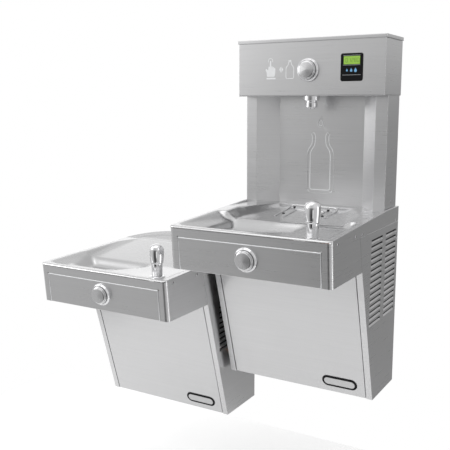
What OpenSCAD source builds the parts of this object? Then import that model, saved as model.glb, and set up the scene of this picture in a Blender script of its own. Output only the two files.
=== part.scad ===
// Wall-hung drinking fountain in two heights, with a bottle filler on the taller unit.
// X runs to the right along the wall, Y into the wall and Z up, in millimetres.
// The origin is on the wall, at the middle of the taller unit's hanger.

/* [Cabinets] */
// Width of each fountain unit
cabinet_w = 467; // [440:1:500]
// Gap between the two cabinets
unit_gap = 15; // [8:1:30]
// How far the lower rim sits below the taller one
rim_step = 157; // [125:1:170]
// Thickness of the steel sheet
sheet_t = 1.5; // [1.2:0.1:2]
// Depth of a cabinet at its foot
foot_d = 182; // [176:1:196]
// Depth of a cabinet where the apron meets it
waist_d = 298; // [285:1:315]
// Width of the strips beside the front panel
strip_w = 19.5; // [15:0.5:25]
// Gap round the front panel
panel_gap = 2; // [1:0.5:3]
// Depth of the folded edges of the front panel
return_d = 12; // [8:1:16]

/* [Rim and apron] */
// Height of the front rim above the cabinet's foot
rim_h = 520; // [505:1:540]
// Rise of the taller unit's rim towards the column
rim_rise = 21; // [16:1:26]
// Rise of the lower unit's rim towards the wall
low_rise = 11; // [8:1:16]
// Depth from the wall to the front rim
basin_d = 515; // [500:1:530]
// Height of the apron
apron_h = 120; // [112:1:126]
// How far the apron's foot sits back from the rim
apron_lean = 10.5; // [6:0.5:14]
// Radius of the apron's upright corners
corner_r = 12; // [8:1:16]
// Radius of the rolled front edge of the basin
nose_r = 6; // [4:0.5:8]
// Height of the band above the apron panel
band_h = 29; // [25:1:33]
// Width of the strips beside the apron panel
stile_w = 27.5; // [22:0.5:34]
// Gap round the apron panel
apron_gap = 0.8; // [0.5:0.1:1.5]
// Run of the side seam from the waist to the apron's side band
seam_run = 24; // [15:1:32]
// Height of the band of the apron that runs to the wall, below the front rim
side_band_h = 23; // [20:1:28]

/* [Basins] */
// Drop from the front rim to the deck that carries the bubbler
deck_drop = 13; // [10:0.5:18]
// Drop from the front rim to the floor of the bowl
bowl_drop = 36; // [30:1:44]
// Drop from the back of the rim to the ledge under the column
ledge_drop = 5.5; // [4:0.5:8]
// Height of the arched upstand on the lower basin
upstand_h = 18; // [12:1:24]
// Radius of the drain hole
drain_r = 22; // [18:0.5:26]
// Height of the ribs that a bottle stands on
rib_h = 2.5; // [1.5:0.5:4]

/* [Louvres] */
// Number of louvres in each column
louvre_rows = 15; // [8:1:16]
// Distance from one louvre to the next
louvre_pitch = 16.8; // [14:0.1:17.5]
// Width of a louvre
louvre_w = 92; // [70:1:94]
// Height of a louvre's opening
louvre_h = 9; // [6:0.5:11]
// How far a louvre is pressed into the cabinet
louvre_in = 6; // [4:0.5:7]
// Depth of the highest slot below the front rim
louvre_drop = 45; // [40:1:70]

/* [Bottle filler] */
// How far each end of the filler head sits in from the cabinet's side
head_in = 6.5; // [3.5:0.5:13]
// Depth of the filler head
head_d = 145; // [138:1:155]
// Height of the filler head up to its cap
head_h = 153; // [145:1:165]
// Height of the top cap's lip
cap_h = 10; // [8:0.5:14]
// How far the cap stands proud of the head
cap_over = 3; // [2.5:0.5:5]
// Clear height of the alcove, from the ledge to the head
alcove_h = 326.5; // [300:0.5:350]
// How far each side of the column sits in from the cabinet's side
column_in = 10; // [8.5:0.5:18]
// Depth of the column
column_d = 102; // [95:1:110]
// Width of the flanges beside the alcove
flange_w = 34.5; // [28:0.5:40]
// Width of the alcove's back panel
back_w = 274; // [255:1:290]
// Depth of the alcove behind the flanges
alcove_d = 56; // [48:1:62]
// Distance from the head's front to the nozzle's axis
nozzle_back = 26.5; // [24:0.5:34]

/* [Push buttons] */
// Radius of a button's face
button_r = 26.5; // [24:0.5:28]
// How far a button stands out of the sheet
button_out = 20; // [18:0.5:22]
// Travel of a button
button_travel = 5; // [3:0.5:5]
// Outer radius of the ring round a button
ring_r = 33; // [31:0.5:36]
// Height of a ring
ring_h = 9; // [8:0.5:10]
// Height of the fountain buttons above the apron's foot
button_up = 50; // [46:1:54]
// Height of the filler button above the head's underside
filler_button_up = 73; // [66:1:80]

/* [Bubblers] */
// Radius of the bubbler's stem
stem_r = 16.5; // [14:0.5:18]
// Radius of the bubbler's hood
hood_r = 20.5; // [19:0.5:22]
// Height of the stem up to the ring
stem_h = 42; // [36:1:48]
// Height of the hood above the ring
hood_h = 50; // [44:1:54]
// Radius of the bubbler's flange
flange_r = 23.5; // [22:0.5:26]

/* [Display] */
// Width of the bezel
bezel_w = 65; // [58:1:70]
// Height of the bezel
bezel_h = 76; // [70:1:84]
// Radius of the bezel's corners
bezel_r = 6; // [4:0.5:8]
// Distance from the head's middle to the bezel's middle
bezel_x = 131; // [110:1:150]
// Height of the bezel's middle above the head's underside
bezel_z = 77; // [70:1:84]

/* [Hidden] */

$fn = 48;
// Sides of the rounded corners of a basin's pressing
press_fn = 24;
// Overrun of a cut past the face that it opens
over = 1;
// Gap between faces that seat on each other
seat = 0.3;
// Overlap of two shapes of one piece, so that they join
weld = 0.2;

// Colours of the finishes
steel = "silver";
dark_steel = "darkgray";
chrome = "gainsboro";
black = "#202022";
copper = "peru";
white_plastic = "whitesmoke";

half_w = cabinet_w / 2;
inner_w = half_w - sheet_t;
head_w = cabinet_w - 2 * head_in;
column_w = cabinet_w - 2 * column_in;
louvre_top = rim_h - louvre_drop;
unit_pitch = cabinet_w + unit_gap;
apron_z = rim_h - apron_h;
side_band_z = rim_h - side_band_h;
panel_top = rim_h - band_h;
panel_x = half_w - stile_w;
deck_z = rim_h - deck_drop;
bowl_z = rim_h - bowl_drop;
ledge_z = rim_h + rim_rise - ledge_drop;
head_z = ledge_z + alcove_h;
cap_z = head_z + head_h;
lean_a = atan(apron_lean / apron_h);
waist_a = atan((waist_d - foot_d) / apron_z);

// Hanger on the wall and the rail that hooks over it
hanger_drop = 75;
hanger_z = rim_h - hanger_drop;
hanger_in = 28.5;
hanger_w = cabinet_w - 2 * hanger_in;
hanger_h = 60;
hanger_t = 3;
hanger_hole_x = 300;
hanger_hole_z = 36;
bolt_r = 4.5;
rail_h = 40;
rail_t = 2;
rail_end = 16;
rail_y = hanger_t + seat;
rail_front = rail_y + rail_t;
rail_top = hanger_z + hanger_h / 2 + seat;

// Places of the drain and the bubbler on a basin
drain_shares = [-0.30, 0.757];
bubbler_shares = [0.642, 0.85];
drain_x = drain_shares[0] * half_w;
drain_y = -drain_shares[1] * basin_d;
bubbler_x = bubbler_shares[0] * half_w;
bubbler_y = -bubbler_shares[1] * basin_d;
shank_r = 10;
shank_hole_r = 10.6;

module along_x(x0, x1) {
    translate([x0, 0, 0]) rotate([90, 0, 90]) linear_extrude(x1 - x0) children();
}

module along_y(y0, y1) {
    translate([0, y1, 0]) rotate([90, 0, 0]) linear_extrude(y1 - y0) children();
}

module block(low, high) {
    translate(low) cube(high - low);
}

module on_tall() {
    translate([0, 0, -hanger_z]) children();
}

module on_low() {
    translate([-unit_pitch, 0, -hanger_z - rim_step]) children();
}

module both_sides() {
    children();
    mirror([1, 0, 0]) children();
}

// A sheet folded along a path in plan, with a round at each fold
module folded(path, t) {
    for (i = [0 : len(path) - 2]) {
        step = path[i + 1] - path[i];
        translate(path[i]) rotate(atan2(step[1], step[0])) translate([0, -t / 2]) square([norm(step), t]);
    }
    for (i = [1 : len(path) - 2]) translate(path[i]) circle(d = t);
}

// A pipe or tube along straight runs
module straight_runs(points, r) {
    for (i = [0 : len(points) - 2]) {
        step = points[i + 1] - points[i];
        flat = norm([step[0], step[1]]);
        translate(points[i]) rotate([0, atan2(flat, step[2]), atan2(step[1], step[0])])
            cylinder(r = r, h = norm(step));
    }
}

// A drain pipe with round elbows
module pipe_run(points, r) {
    straight_runs(points, r);
    for (i = [1 : len(points) - 2]) translate(points[i]) sphere(r = r);
}

// A water tube with a square push-fit elbow at each turn
fitting_share = 1.2;
module tube_run(points) {
    straight_runs(points, tube_r);
    fit = tube_r * fitting_share;
    for (i = [1 : len(points) - 2]) translate(points[i]) block([-fit, -fit, -fit], [fit, fit, fit]);
}

// A can with a low dome at both ends
dome_share = 1.35;
module dome_can(r, h) {
    round_r = r * dome_share;
    rise = round_r - sqrt(round_r * round_r - r * r);
    rotate_extrude() {
        translate([0, rise]) square([r, h - 2 * rise]);
        intersection() {
            translate([0, h - round_r]) circle(r = round_r);
            translate([0, h - rise - weld]) square([r, rise + weld]);
        }
        intersection() {
            translate([0, round_r]) circle(r = round_r);
            square([r, rise + weld]);
        }
    }
}

// Rims, from the front to the wall: depth and height
upstand_share = 0.19;
tall_rim = [[-basin_d, rim_h], [-column_d, rim_h + rim_rise], [0, rim_h + rim_rise]];
low_rim = [[-basin_d, rim_h], [-basin_d * upstand_share, rim_h + low_rise], [0, rim_h + low_rise + upstand_h]];

function rim_at(rim, y) = lookup(y, rim);

// The space between two depths under the rim, seen from the side
module under_rim(rim, upper, lower) {
    last = len(rim) - 1;
    polygon(concat(
        [for (p = rim) [p[0], p[1] - upper]],
        [for (i = [0 : last]) [rim[last - i][0], rim[last - i][1] - lower]]));
}

// A unit seen from above, with round front corners
module tall_plan(inset) {
    w = half_w - inset;
    r = corner_r - inset;
    front = inset - basin_d;
    translate([-w, front + r]) square([2 * w, -front - r]);
    translate([-w + r, front]) square([2 * (w - r), r + weld]);
    for (side = [-1, 1]) translate([side * (w - r), front + r]) circle(r = r);
}

// The lower unit has an arched back: a wide round at each rear corner
arch_r = 208;
arch_x = 55;
arch_y = 202;
module low_plan(inset) {
    difference() {
        tall_plan(inset);
        both_sides() difference() {
            translate([arch_x, -arch_y]) square([half_w, arch_y + over]);
            translate([arch_x, -arch_y]) circle(r = arch_r - inset);
            translate([-half_w, -arch_y - over]) square([2 * half_w, arch_y / 2 + over]);
        }
    }
}

// A pressed hollow: posts at its corners, joined into one smooth shape.
// Each row holds a post's place as shares of the half width and the depth, its foot and its radius.
module pressing(rows, grow) {
    hull() for (c = rows)
        translate([c[0] * half_w, -c[1] * basin_d, c[2]]) cylinder(r = c[3] + grow, h = over, $fn = press_fn);
}

mouth_r = 14;
floor_r = 10;
function mirrored(shares) = concat(shares, [for (p = shares) [-p[0], p[1]]]);
function mouth_posts(rim, shares, above) =
    [for (p = shares) [p[0], p[1], rim_at(rim, -p[1] * basin_d) + above, mouth_r]];
function floor_posts(shares, z) = [for (p = shares) [p[0], p[1], z, floor_r]];

// Hollow over the deck that carries the bubbler
front_mouth_shares = mirrored([[0.885, 0.94], [0.885, 0.585]]);
front_floor_shares = mirrored([[0.74, 0.915], [0.74, 0.545]]);
low_front_mouth_shares = mirrored([[0.885, 0.94], [0.885, 0.67]]);
low_front_floor_shares = mirrored([[0.74, 0.915], [0.74, 0.66]]);
// Sloping shelf of the taller unit, narrowing under the alcove, and lower on its left
shelf_mouth_shares = mirrored([[0.765, 0.60], [0.765, 0.40], [0.52, 0.16]]);
shelf_back_shares = mirrored([[0.44, 0.21]]);
shelf_left_share = [[-0.66, 0.50]];
shelf_right_share = [[0.66, 0.50]];
shelf_left_rise = 1;
shelf_right_rise = 9;
shelf_back_rise = 17;
// Back slope of the lower unit, with an arched back edge
slope_mouth_shares = mirrored([
    [0, 0.085], [0.30, 0.09], [0.52, 0.115], [0.74, 0.175], [0.86, 0.30], [0.86, 0.64]]);
slope_back_shares = mirrored([[0, 0.335], [0.33, 0.345], [0.62, 0.38], [0.78, 0.45]]);
slope_front_shares = mirrored([[0.76, 0.66]]);
slope_back_rise = 18;
// Bowls under the deck: mouth and floor
tall_bowl_mouth_shares = [[-0.72, 0.545], [-0.72, 0.89], [-0.03, 0.90], [0.28, 0.68], [0.25, 0.545]];
tall_bowl_floor_shares = [[-0.62, 0.62], [-0.62, 0.84], [-0.12, 0.85], [0.12, 0.69], [0.10, 0.62]];
low_bowl_mouth_shares = [[-0.78, 0.66], [-0.72, 0.83], [-0.10, 0.83], [0.18, 0.665]];
low_bowl_floor_shares = [[-0.66, 0.695], [-0.62, 0.80], [-0.18, 0.805], [0.0, 0.70]];

module front_hollow(above, grow) {
    pressing(concat(mouth_posts(tall_rim, front_mouth_shares, above),
        floor_posts(front_floor_shares, deck_z - grow)), grow);
}

module low_front_hollow(above, grow) {
    pressing(concat(mouth_posts(low_rim, low_front_mouth_shares, above),
        floor_posts(low_front_floor_shares, deck_z - grow)), grow);
}

module shelf_hollow(above, grow) {
    pressing(concat(
        mouth_posts(tall_rim, shelf_mouth_shares, above),
        floor_posts(shelf_left_share, deck_z + shelf_left_rise - grow),
        floor_posts(shelf_right_share, deck_z + shelf_right_rise - grow),
        floor_posts(shelf_back_shares, deck_z + shelf_back_rise - grow)), grow);
}

module slope_hollow(above, grow) {
    pressing(concat(
        mouth_posts(low_rim, slope_mouth_shares, above),
        floor_posts(slope_front_shares, deck_z - grow),
        floor_posts(slope_back_shares, deck_z + slope_back_rise - grow)), grow);
}

module bowl_hollow(mouth_shares, floor_shares, above, grow) {
    pressing(concat(
        floor_posts(mouth_shares, deck_z + above), floor_posts(floor_shares, bowl_z - grow)), grow);
}

// Bottle stand: ribs pressed up from the shelf under the nozzle
stand_x = 60;
stand_front = 182;
stand_back = 92;
rib_w = 9;
module bottle_stand() {
    nib = rib_w / 2;
    rise = shelf_back_rise - (shelf_left_rise + shelf_right_rise) / 2;
    run = (shelf_left_share[0][1] - shelf_back_shares[0][1]) * basin_d;
    translate([0, -stand_back, deck_z + shelf_back_rise]) rotate([atan(rise / run), 0, 0]) {
        for (side = [-1, 1])
            block([side * stand_x - nib, stand_back - stand_front, -rib_h],
                [side * stand_x + nib, nib, rib_h]);
        block([-stand_x, -nib, -rib_h], [stand_x, nib, rib_h]);
    }
}

// Side flanges of a basin, inside the apron's band
flange_low = 9;
module basin_flanges(rim, back) {
    both_sides() intersection() {
        along_x(inner_w - sheet_t, inner_w) under_rim(rim, sheet_t / 2, 2 * basin_d);
        block([0, 2 * corner_r - basin_d, side_band_z - flange_low], [half_w, -back, 2 * rim_h]);
    }
}

// Rim sheet with its rolled front edge
module rim_sheet(rim) {
    nose = [nose_r - basin_d, rim_h - nose_r];
    along_x(-half_w, half_w) difference() {
        union() {
            under_rim(rim, 0, sheet_t);
            translate([-basin_d, nose[1]]) square([nose_r, nose_r]);
        }
        translate(nose) circle(r = nose_r - sheet_t);
        translate(nose - [0, over]) square([nose_r, nose_r - sheet_t + over]);
        difference() {
            translate(nose - [nose_r + over, 0]) square(nose_r + over);
            translate(nose) circle(r = nose_r);
        }
    }
}

screw_r = 2.1;
screw_hole_r = 2.4;
// Screws of the side band: three measured from the front, one from the wall, and their drop under the rim
band_screw_in = [37, 157, 207];
band_screw_back = 23;
band_screw_drop = [12.5, 14, 15, 18];
band_screw_y = concat([for (d = band_screw_in) d - basin_d], [-band_screw_back]);
band_screw_z = [for (d = band_screw_drop) rim_h - d];
// Holes for screws, through the sheets at either side
module side_holes(x, y, z) {
    for (end = [-x - over, x - 3 * sheet_t]) translate([end, y, z]) rotate([0, 90, 0])
        cylinder(r = screw_hole_r, h = 3 * sheet_t + over);
}

module band_screw_holes() {
    for (i = [0 : len(band_screw_y) - 1]) side_holes(half_w, band_screw_y[i], band_screw_z[i]);
}

module basin_holes() {
    translate([drain_x, drain_y, bowl_z - bowl_drop]) cylinder(r = drain_r, h = 2 * bowl_drop);
    translate([bubbler_x, bubbler_y, deck_z - bowl_drop]) cylinder(r = shank_hole_r, h = 2 * bowl_drop);
    band_screw_holes();
}

// Ledge that the column stands on
ledge_margin = 3;
ledge_w = column_w / 2 + ledge_margin;
ledge_front = (rim_rise - ledge_drop) / rim_rise * (basin_d - column_d) - basin_d;
module ledge() {
    block([-ledge_w - sheet_t, ledge_front, ledge_z - sheet_t], [ledge_w + sheet_t, 0, ledge_z]);
    both_sides() intersection() {
        block([ledge_w, ledge_front, ledge_z - sheet_t], [ledge_w + sheet_t, 0, 2 * rim_h]);
        along_x(0, half_w) under_rim(tall_rim, sheet_t / 2, 2 * basin_d);
    }
}

feed_hole_r = 9;
module tall_basin() {
    color(steel) difference() {
        union() {
            intersection() {
                rim_sheet(tall_rim);
                linear_extrude(2 * rim_h) tall_plan(0);
            }
            basin_flanges(tall_rim, 0);
            ledge();
            front_hollow(-sheet_t, sheet_t);
            shelf_hollow(-sheet_t, sheet_t);
            bowl_hollow(tall_bowl_mouth_shares, tall_bowl_floor_shares, -sheet_t, sheet_t);
        }
        difference() {
            union() {
                front_hollow(over, 0);
                shelf_hollow(over, 0);
            }
            bottle_stand();
        }
        bowl_hollow(tall_bowl_mouth_shares, tall_bowl_floor_shares, over, 0);
        block([-ledge_w, ledge_front, ledge_z], [ledge_w, over, 2 * rim_h]);
        basin_holes();
        translate([feed_x, feed_y, ledge_z - rim_rise]) cylinder(r = feed_hole_r, h = 2 * rim_rise);
    }
}

// Behind the arch: a skirt down to a small shelf in each rear corner
corner_up = 4;
corner_z = side_band_z + corner_up;
arch_start = arch_y / 2;
module arch_skirt() {
    intersection() {
        translate([0, 0, corner_z]) linear_extrude(rim_h) difference() {
            low_plan(0);
            low_plan(sheet_t);
        }
        along_x(-half_w, half_w) under_rim(low_rim, 0, basin_d);
        block([-half_w, -arch_start, 0], [half_w, 0, 2 * rim_h]);
    }
    intersection() {
        translate([0, 0, corner_z]) linear_extrude(sheet_t) difference() {
            tall_plan(sheet_t);
            low_plan(sheet_t);
        }
        block([-inner_w, -arch_start, 0], [inner_w, 0, rim_h]);
    }
    both_sides() block([inner_w - sheet_t, -arch_start - weld, side_band_z - flange_low],
        [inner_w, 0, corner_z + sheet_t]);
}

module low_basin() {
    color(steel) difference() {
        union() {
            arch_skirt();
            intersection() {
                rim_sheet(low_rim);
                linear_extrude(2 * rim_h) low_plan(0);
            }
            basin_flanges(low_rim, arch_start - 2 * sheet_t);
            low_front_hollow(-sheet_t, sheet_t);
            slope_hollow(-sheet_t, sheet_t);
            bowl_hollow(low_bowl_mouth_shares, low_bowl_floor_shares, -sheet_t, sheet_t);
        }
        low_front_hollow(over, 0);
        slope_hollow(over, 0);
        bowl_hollow(low_bowl_mouth_shares, low_bowl_floor_shares, over, 0);
        basin_holes();
    }
}

// Frame on an apron's leaning face, at its foot, with Z up along the face
module on_apron_foot() {
    translate([0, apron_lean - basin_d, apron_z]) rotate([lean_a, 0, 0]) children();
}

// Frame at a push button: Z points out of the sheet
button_z = apron_z + button_up;
button_lean = (button_z - apron_z) * tan(lean_a);
button_y = apron_lean - basin_d - button_lean;
module on_apron_button() {
    translate([0, button_y, button_z]) rotate([90 + lean_a, 0, 0]) children();
}

filler_button_z = head_z + filler_button_up;
module on_head_button() {
    translate([0, -head_d, filler_button_z]) rotate([90, 0, 0]) children();
}

// Apron: band, corners and sides in one sheet, open for the apron panel
seam_gap = 0.8;
relief_r = 2.2;
module apron_outline() {
    polygon([
        [-basin_d - over, apron_z], [-waist_d - seam_gap, apron_z],
        [-waist_d - seam_gap - seam_run, side_band_z],
        [0, side_band_z], [0, rim_h + rim_rise - sheet_t], [-column_d, rim_h + rim_rise - sheet_t],
        [nose_r - basin_d, rim_h - sheet_t], [nose_r - basin_d, rim_h - nose_r - seat],
        [-basin_d - over, rim_h - nose_r - seat]]);
}

module low_apron_outline() {
    intersection() {
        apron_outline();
        union() {
            difference() {
                under_rim(low_rim, sheet_t, 2 * basin_d);
                translate([-arch_start, corner_z]) square([arch_start + over, rim_h]);
            }
            translate([-basin_d - over, 0]) square([nose_r + over, rim_h]);
        }
    }
}

module apron(low) {
    reach = apron_h / cos(lean_a);
    color(steel) difference() {
        union() {
            intersection() {
                on_apron_foot() translate([0, 0, -apron_h]) linear_extrude(3 * apron_h) difference() {
                    translate([0, basin_d]) tall_plan(0);
                    translate([0, basin_d]) tall_plan(sheet_t);
                    translate([-inner_w, basin_d - over]) square([2 * inner_w, 2 * basin_d]);
                }
                along_x(-half_w, half_w) if (low) low_apron_outline(); else apron_outline();
            }
            both_sides() block([panel_x + apron_gap, apron_lean + corner_r - basin_d, apron_z],
                [inner_w + weld, -waist_d - seam_gap, apron_z + sheet_t]);
            both_sides() on_apron_foot() block([panel_x + apron_gap, sheet_t - weld, sheet_t],
                [panel_x + apron_gap + sheet_t, return_d, panel_top - apron_z]);
        }
        on_apron_foot() {
            edge = panel_x + apron_gap;
            top = panel_top - apron_z;
            block([-edge, -over, -over], [edge, sheet_t + weld, top]);
            both_sides() translate([edge, sheet_t + over, top]) rotate([90, 0, 0])
                cylinder(r = relief_r, h = sheet_t + 2 * over);
        }
        band_screw_holes();
    }
}

module tall_apron() apron(false);
module low_apron() apron(true);

// Panel with the push button, folded back under the apron
module apron_panel() {
    top = panel_top - apron_z - apron_gap;
    color(steel) difference() {
        union() {
            on_apron_foot() block([-panel_x, 0, 0], [panel_x, sheet_t, top]);
            on_apron_foot() both_sides() block([panel_x - sheet_t, 0, sheet_t], [panel_x, return_d, top]);
            block([-panel_x, apron_lean - basin_d, apron_z],
                [panel_x, -waist_d - seam_gap, apron_z + sheet_t]);
        }
        on_apron_button() translate([0, 0, -barrel_l]) cylinder(r = barrel_r + seat, h = 2 * barrel_l);
    }
}

// Push button: Z points out of the sheet, whose outer face is at zero
ring_base = 2;
ring_in = button_r + 0.6;
barrel_r = 14;
barrel_bore_r = 10.2;
barrel_l = 16;
barrel_end = 4;
guide_clear = 0.08;
plunger_r = 6;
press_gap = 0.6;
cap_round = 3;
cap_slope = 1.5;
ring_chamfer = 4;
module button_ring() {
    color(chrome) rotate_extrude() difference() {
        union() {
            polygon([
                [0, 0], [ring_r, 0], [ring_r, ring_h - ring_chamfer], [ring_r - ring_chamfer, ring_h],
                [0, ring_h]]);
            translate([0, -barrel_l]) square([barrel_r, barrel_l + ring_base]);
        }
        translate([0, -barrel_l - over]) square([plunger_r + guide_clear, 2 * barrel_l]);
        translate([0, barrel_end - barrel_l]) square([barrel_bore_r, 2 * barrel_l]);
        translate([0, ring_base]) square([ring_in, ring_h]);
    }
}

button_under = ring_base + button_travel + press_gap;
stem_in = 10;
stem_end = barrel_l + stem_in;
module push_button() {
    color(chrome) rotate_extrude() union() {
        translate([0, -stem_end]) square([plunger_r, stem_end + button_out - cap_round]);
        polygon([
            [0, button_under], [button_r, button_under], [button_r, button_under + cap_round],
            [button_r - cap_slope, button_out - cap_round], [button_r - cap_slope - cap_round, button_out],
            [0, button_out]]);
    }
}

spring_turns = 5;
spring_steps = 12;
spring_r = 8;
wire_r = 0.8;
spring_low = barrel_end - barrel_l + seat;
spring_high = button_under - seat;
// Helix of wire, each ring with six corners
module button_spring() {
    n = spring_turns * spring_steps;
    climb = spring_high - spring_low - 2 * wire_r;
    points = [for (i = [0 : n], k = [0 : 5])
        let (a = 360 * i / spring_steps, b = 60 * k, r = spring_r + wire_r * cos(b))
        [r * cos(a), r * sin(a), spring_low + wire_r + climb * i / n + wire_r * sin(b)]];
    sides = [for (i = [0 : n - 1], k = [0 : 5])
        let (p = 6 * i + k, q = 6 * i + (k + 1) % 6) [p, q, q + 6, p + 6]];
    triangles = [for (s = sides) each [[s[0], s[1], s[2]], [s[0], s[2], s[3]]]];
    start = [for (k = [1 : 4]) [0, k + 1, k]];
    finish = [for (k = [1 : 4]) [6 * n, 6 * n + k, 6 * n + k + 1]];
    color(dark_steel) polyhedron(points = points, faces = concat(triangles, start, finish));
}

// Valve on the ring's barrel, with a side inlet and a rear outlet
valve_r = 14;
valve_l = 30;
port_r = 7;
port_out = 8;
port_at = 15;
tube_r = 4.76;
valve_bore_l = stem_in + button_travel + 2 * over;
module valve() {
    color(white_plastic) difference() {
        union() {
            translate([0, 0, -barrel_l - valve_l]) cylinder(r = valve_r, h = valve_l);
            translate([0, 0, -barrel_l - port_at]) rotate([0, 90, 0])
                cylinder(r = port_r, h = valve_r + port_out);
            translate([0, 0, -barrel_l - valve_l - port_out]) cylinder(r = port_r, h = port_out + weld);
        }
        translate([0, 0, -barrel_l - valve_bore_l]) cylinder(r = plunger_r + seat, h = valve_bore_l + over);
    }
}

// Strainer in the bowl, with its tailpiece
strainer_rim = 5;
strainer_r = drain_r + strainer_rim;
strainer_lip = 1.4;
strainer_cup_r = drain_r - over;
strainer_cup_d = 10;
strainer_hole_r = 2.6;
strainer_holes = 8;
strainer_ring_share = 0.6;
drain_pipe_r = 15.9;
drain_wall = 1.3;
tail_l = 34;
module strainer() {
    translate([drain_x, drain_y, bowl_z]) color(chrome) difference() {
        union() {
            cylinder(r = strainer_r, h = strainer_lip);
            translate([0, 0, -strainer_cup_d]) cylinder(r = strainer_cup_r, h = strainer_cup_d + weld);
            translate([0, 0, -tail_l]) cylinder(r = drain_pipe_r, h = tail_l);
        }
        translate([0, 0, -tail_l - over])
            cylinder(r = drain_pipe_r - drain_wall, h = tail_l + over - strainer_lip);
        for (i = [0 : strainer_holes - 1]) rotate(360 * i / strainer_holes)
            translate([strainer_cup_r * strainer_ring_share - strainer_hole_r, 0, -tail_l])
                cylinder(r = strainer_hole_r, h = 2 * tail_l);
        translate([0, 0, -tail_l]) cylinder(r = strainer_hole_r, h = 2 * tail_l);
    }
}

// Trap: back from the tailpiece, down, round and out through the wall
trap_bend = 22;
trap_run_z = bowl_z - tail_l - trap_bend;
trap_down_y = -120;
trap_up_y = -60;
trap_low_drop = 174;
trap_out_drop = 109;
trap_low_z = bowl_z - trap_low_drop;
trap_out_z = bowl_z - trap_out_drop;
// Slip nut between the trap and its wall pipe
trap_nut_r = 20;
trap_nut_l = 17;
wall_pipe_l = 40;
function trap_path() = [
    [drain_x, drain_y, bowl_z - tail_l], [drain_x, drain_y, trap_run_z], [drain_x, trap_down_y, trap_run_z],
    [drain_x, trap_down_y, trap_low_z], [drain_x, trap_up_y, trap_low_z], [drain_x, trap_up_y, trap_out_z],
    [drain_x, 0, trap_out_z]];
module trap() {
    color(white_plastic) {
        pipe_run(trap_path(), drain_pipe_r);
        translate([drain_x, -wall_pipe_l, trap_out_z]) rotate([90, 0, 0]) cylinder(r = trap_nut_r, h = trap_nut_l);
    }
}

// Bubbler: stem, ring and hood, with the jet under the hood
jet_turn = 145;
band_r = hood_r - 1.5;
bubbler_band_h = 4;
jet_r = 6;
jet_h = 12;
hood_in_r = 14;
hood_mouth = 26;
shank_l = 30;
module on_bubbler() {
    translate([bubbler_x, bubbler_y, deck_z]) children();
}

module bubbler() {
    hood_z = stem_h + bubbler_band_h;
    foot = flange_h + seat;
    color(chrome) on_bubbler() {
        translate([0, 0, -shank_l]) cylinder(r = shank_r, h = shank_l + foot + weld);
        difference() {
            union() {
                translate([0, 0, foot]) cylinder(r = stem_r, h = hood_z - foot);
                translate([0, 0, stem_h]) cylinder(r = band_r, h = bubbler_band_h);
                translate([0, 0, hood_z]) cylinder(r = hood_r, h = hood_h - hood_r);
                translate([0, 0, hood_z + hood_h - hood_r]) sphere(r = hood_r);
            }
            rotate(jet_turn) translate([0, 0, hood_z]) {
                cylinder(r = hood_in_r, h = hood_mouth);
                block([0, -hood_in_r, 0], [2 * hood_r, hood_in_r, hood_mouth]);
            }
        }
        translate([0, 0, hood_z - weld]) cylinder(r = jet_r, h = jet_h);
    }
}

flange_h = 3;
nut_r = 17;
nut_h = 8;
module bubbler_flange() {
    color(chrome) on_bubbler() difference() {
        union() {
            cylinder(r1 = flange_r, r2 = flange_r - flange_h / 2, h = flange_h);
            translate([0, 0, -sheet_t - nut_h]) cylinder(r = nut_r, h = nut_h, $fn = 6);
        }
        translate([0, 0, -shank_l]) cylinder(r = shank_r + seat, h = 2 * shank_l);
    }
}

// Side panel: sheet, front strip with its return, and louvres pressed inwards
module side_outline() {
    band = side_band_z - seam_gap;
    polygon([[-foot_d, 0], [0, 0], [0, band], [-waist_d - seam_run + seam_gap, band], [-waist_d, apron_z]]);
}

// Frame on the front slope: Z up along it
module on_slope() {
    translate([0, -foot_d, 0]) rotate([waist_a, 0, 0]) children();
}

louvre_columns = [-231, -110];
function louvre_z(i) = louvre_top - louvre_pitch * i;

// One outline for each louvre of a column, seen from the front: x inwards, y up
module louvre_flaps() {
    for (i = [0 : louvre_rows - 1]) {
        z = louvre_z(i);
        polygon([[0, z - louvre_h - weld], [sheet_t, z - louvre_h - weld], [louvre_in + sheet_t, z],
            [louvre_in, z], [0, z - louvre_h]]);
    }
}

module louvre_ends() {
    for (i = [0 : louvre_rows - 1]) {
        z = louvre_z(i);
        polygon([[0, z - louvre_h - weld], [sheet_t, z - louvre_h - weld], [louvre_in + sheet_t, z], [0, z]]);
    }
}

module louvre_windows() {
    for (i = [0 : louvre_rows - 1]) translate([0, louvre_z(i) - louvre_h]) square([3 * sheet_t, louvre_h]);
}

pipe_hole_r = 9;
cross_y = -165;
cross_z = 60;
module side_panel(cross_at) {
    strip_in = half_w - strip_w + panel_gap;
    color(steel) difference() {
        union() {
            difference() {
                along_x(inner_w, half_w) side_outline();
                translate([half_w + sheet_t, 0, 0]) for (y = louvre_columns)
                    translate([0, y + louvre_w, 0]) rotate([90, 0, 0]) linear_extrude(louvre_w)
                        mirror([1, 0]) louvre_windows();
            }
            translate([half_w, 0, 0]) for (y = louvre_columns) {
                translate([0, y + louvre_w, 0]) rotate([90, 0, 0]) linear_extrude(louvre_w)
                    mirror([1, 0]) louvre_flaps();
                for (end = [y + sheet_t, y + louvre_w])
                    translate([0, end, 0]) rotate([90, 0, 0]) linear_extrude(sheet_t)
                        mirror([1, 0]) louvre_ends();
            }
            intersection() {
                on_slope() {
                    block([strip_in, 0, -foot_d], [half_w, sheet_t, 2 * apron_z]);
                    block([strip_in, 0, -foot_d], [strip_in + sheet_t, return_d, 2 * apron_z]);
                }
                along_x(0, half_w) side_outline();
                block([0, -basin_d, seat], [half_w, 0, apron_z - seat]);
            }
        }
        band_screw_holes();
        if (cross_at != 0) translate([0, cross_y, cross_at]) rotate([0, 90, 0])
            cylinder(r = pipe_hole_r, h = cabinet_w);
        rail_holes();
    }
}

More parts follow.
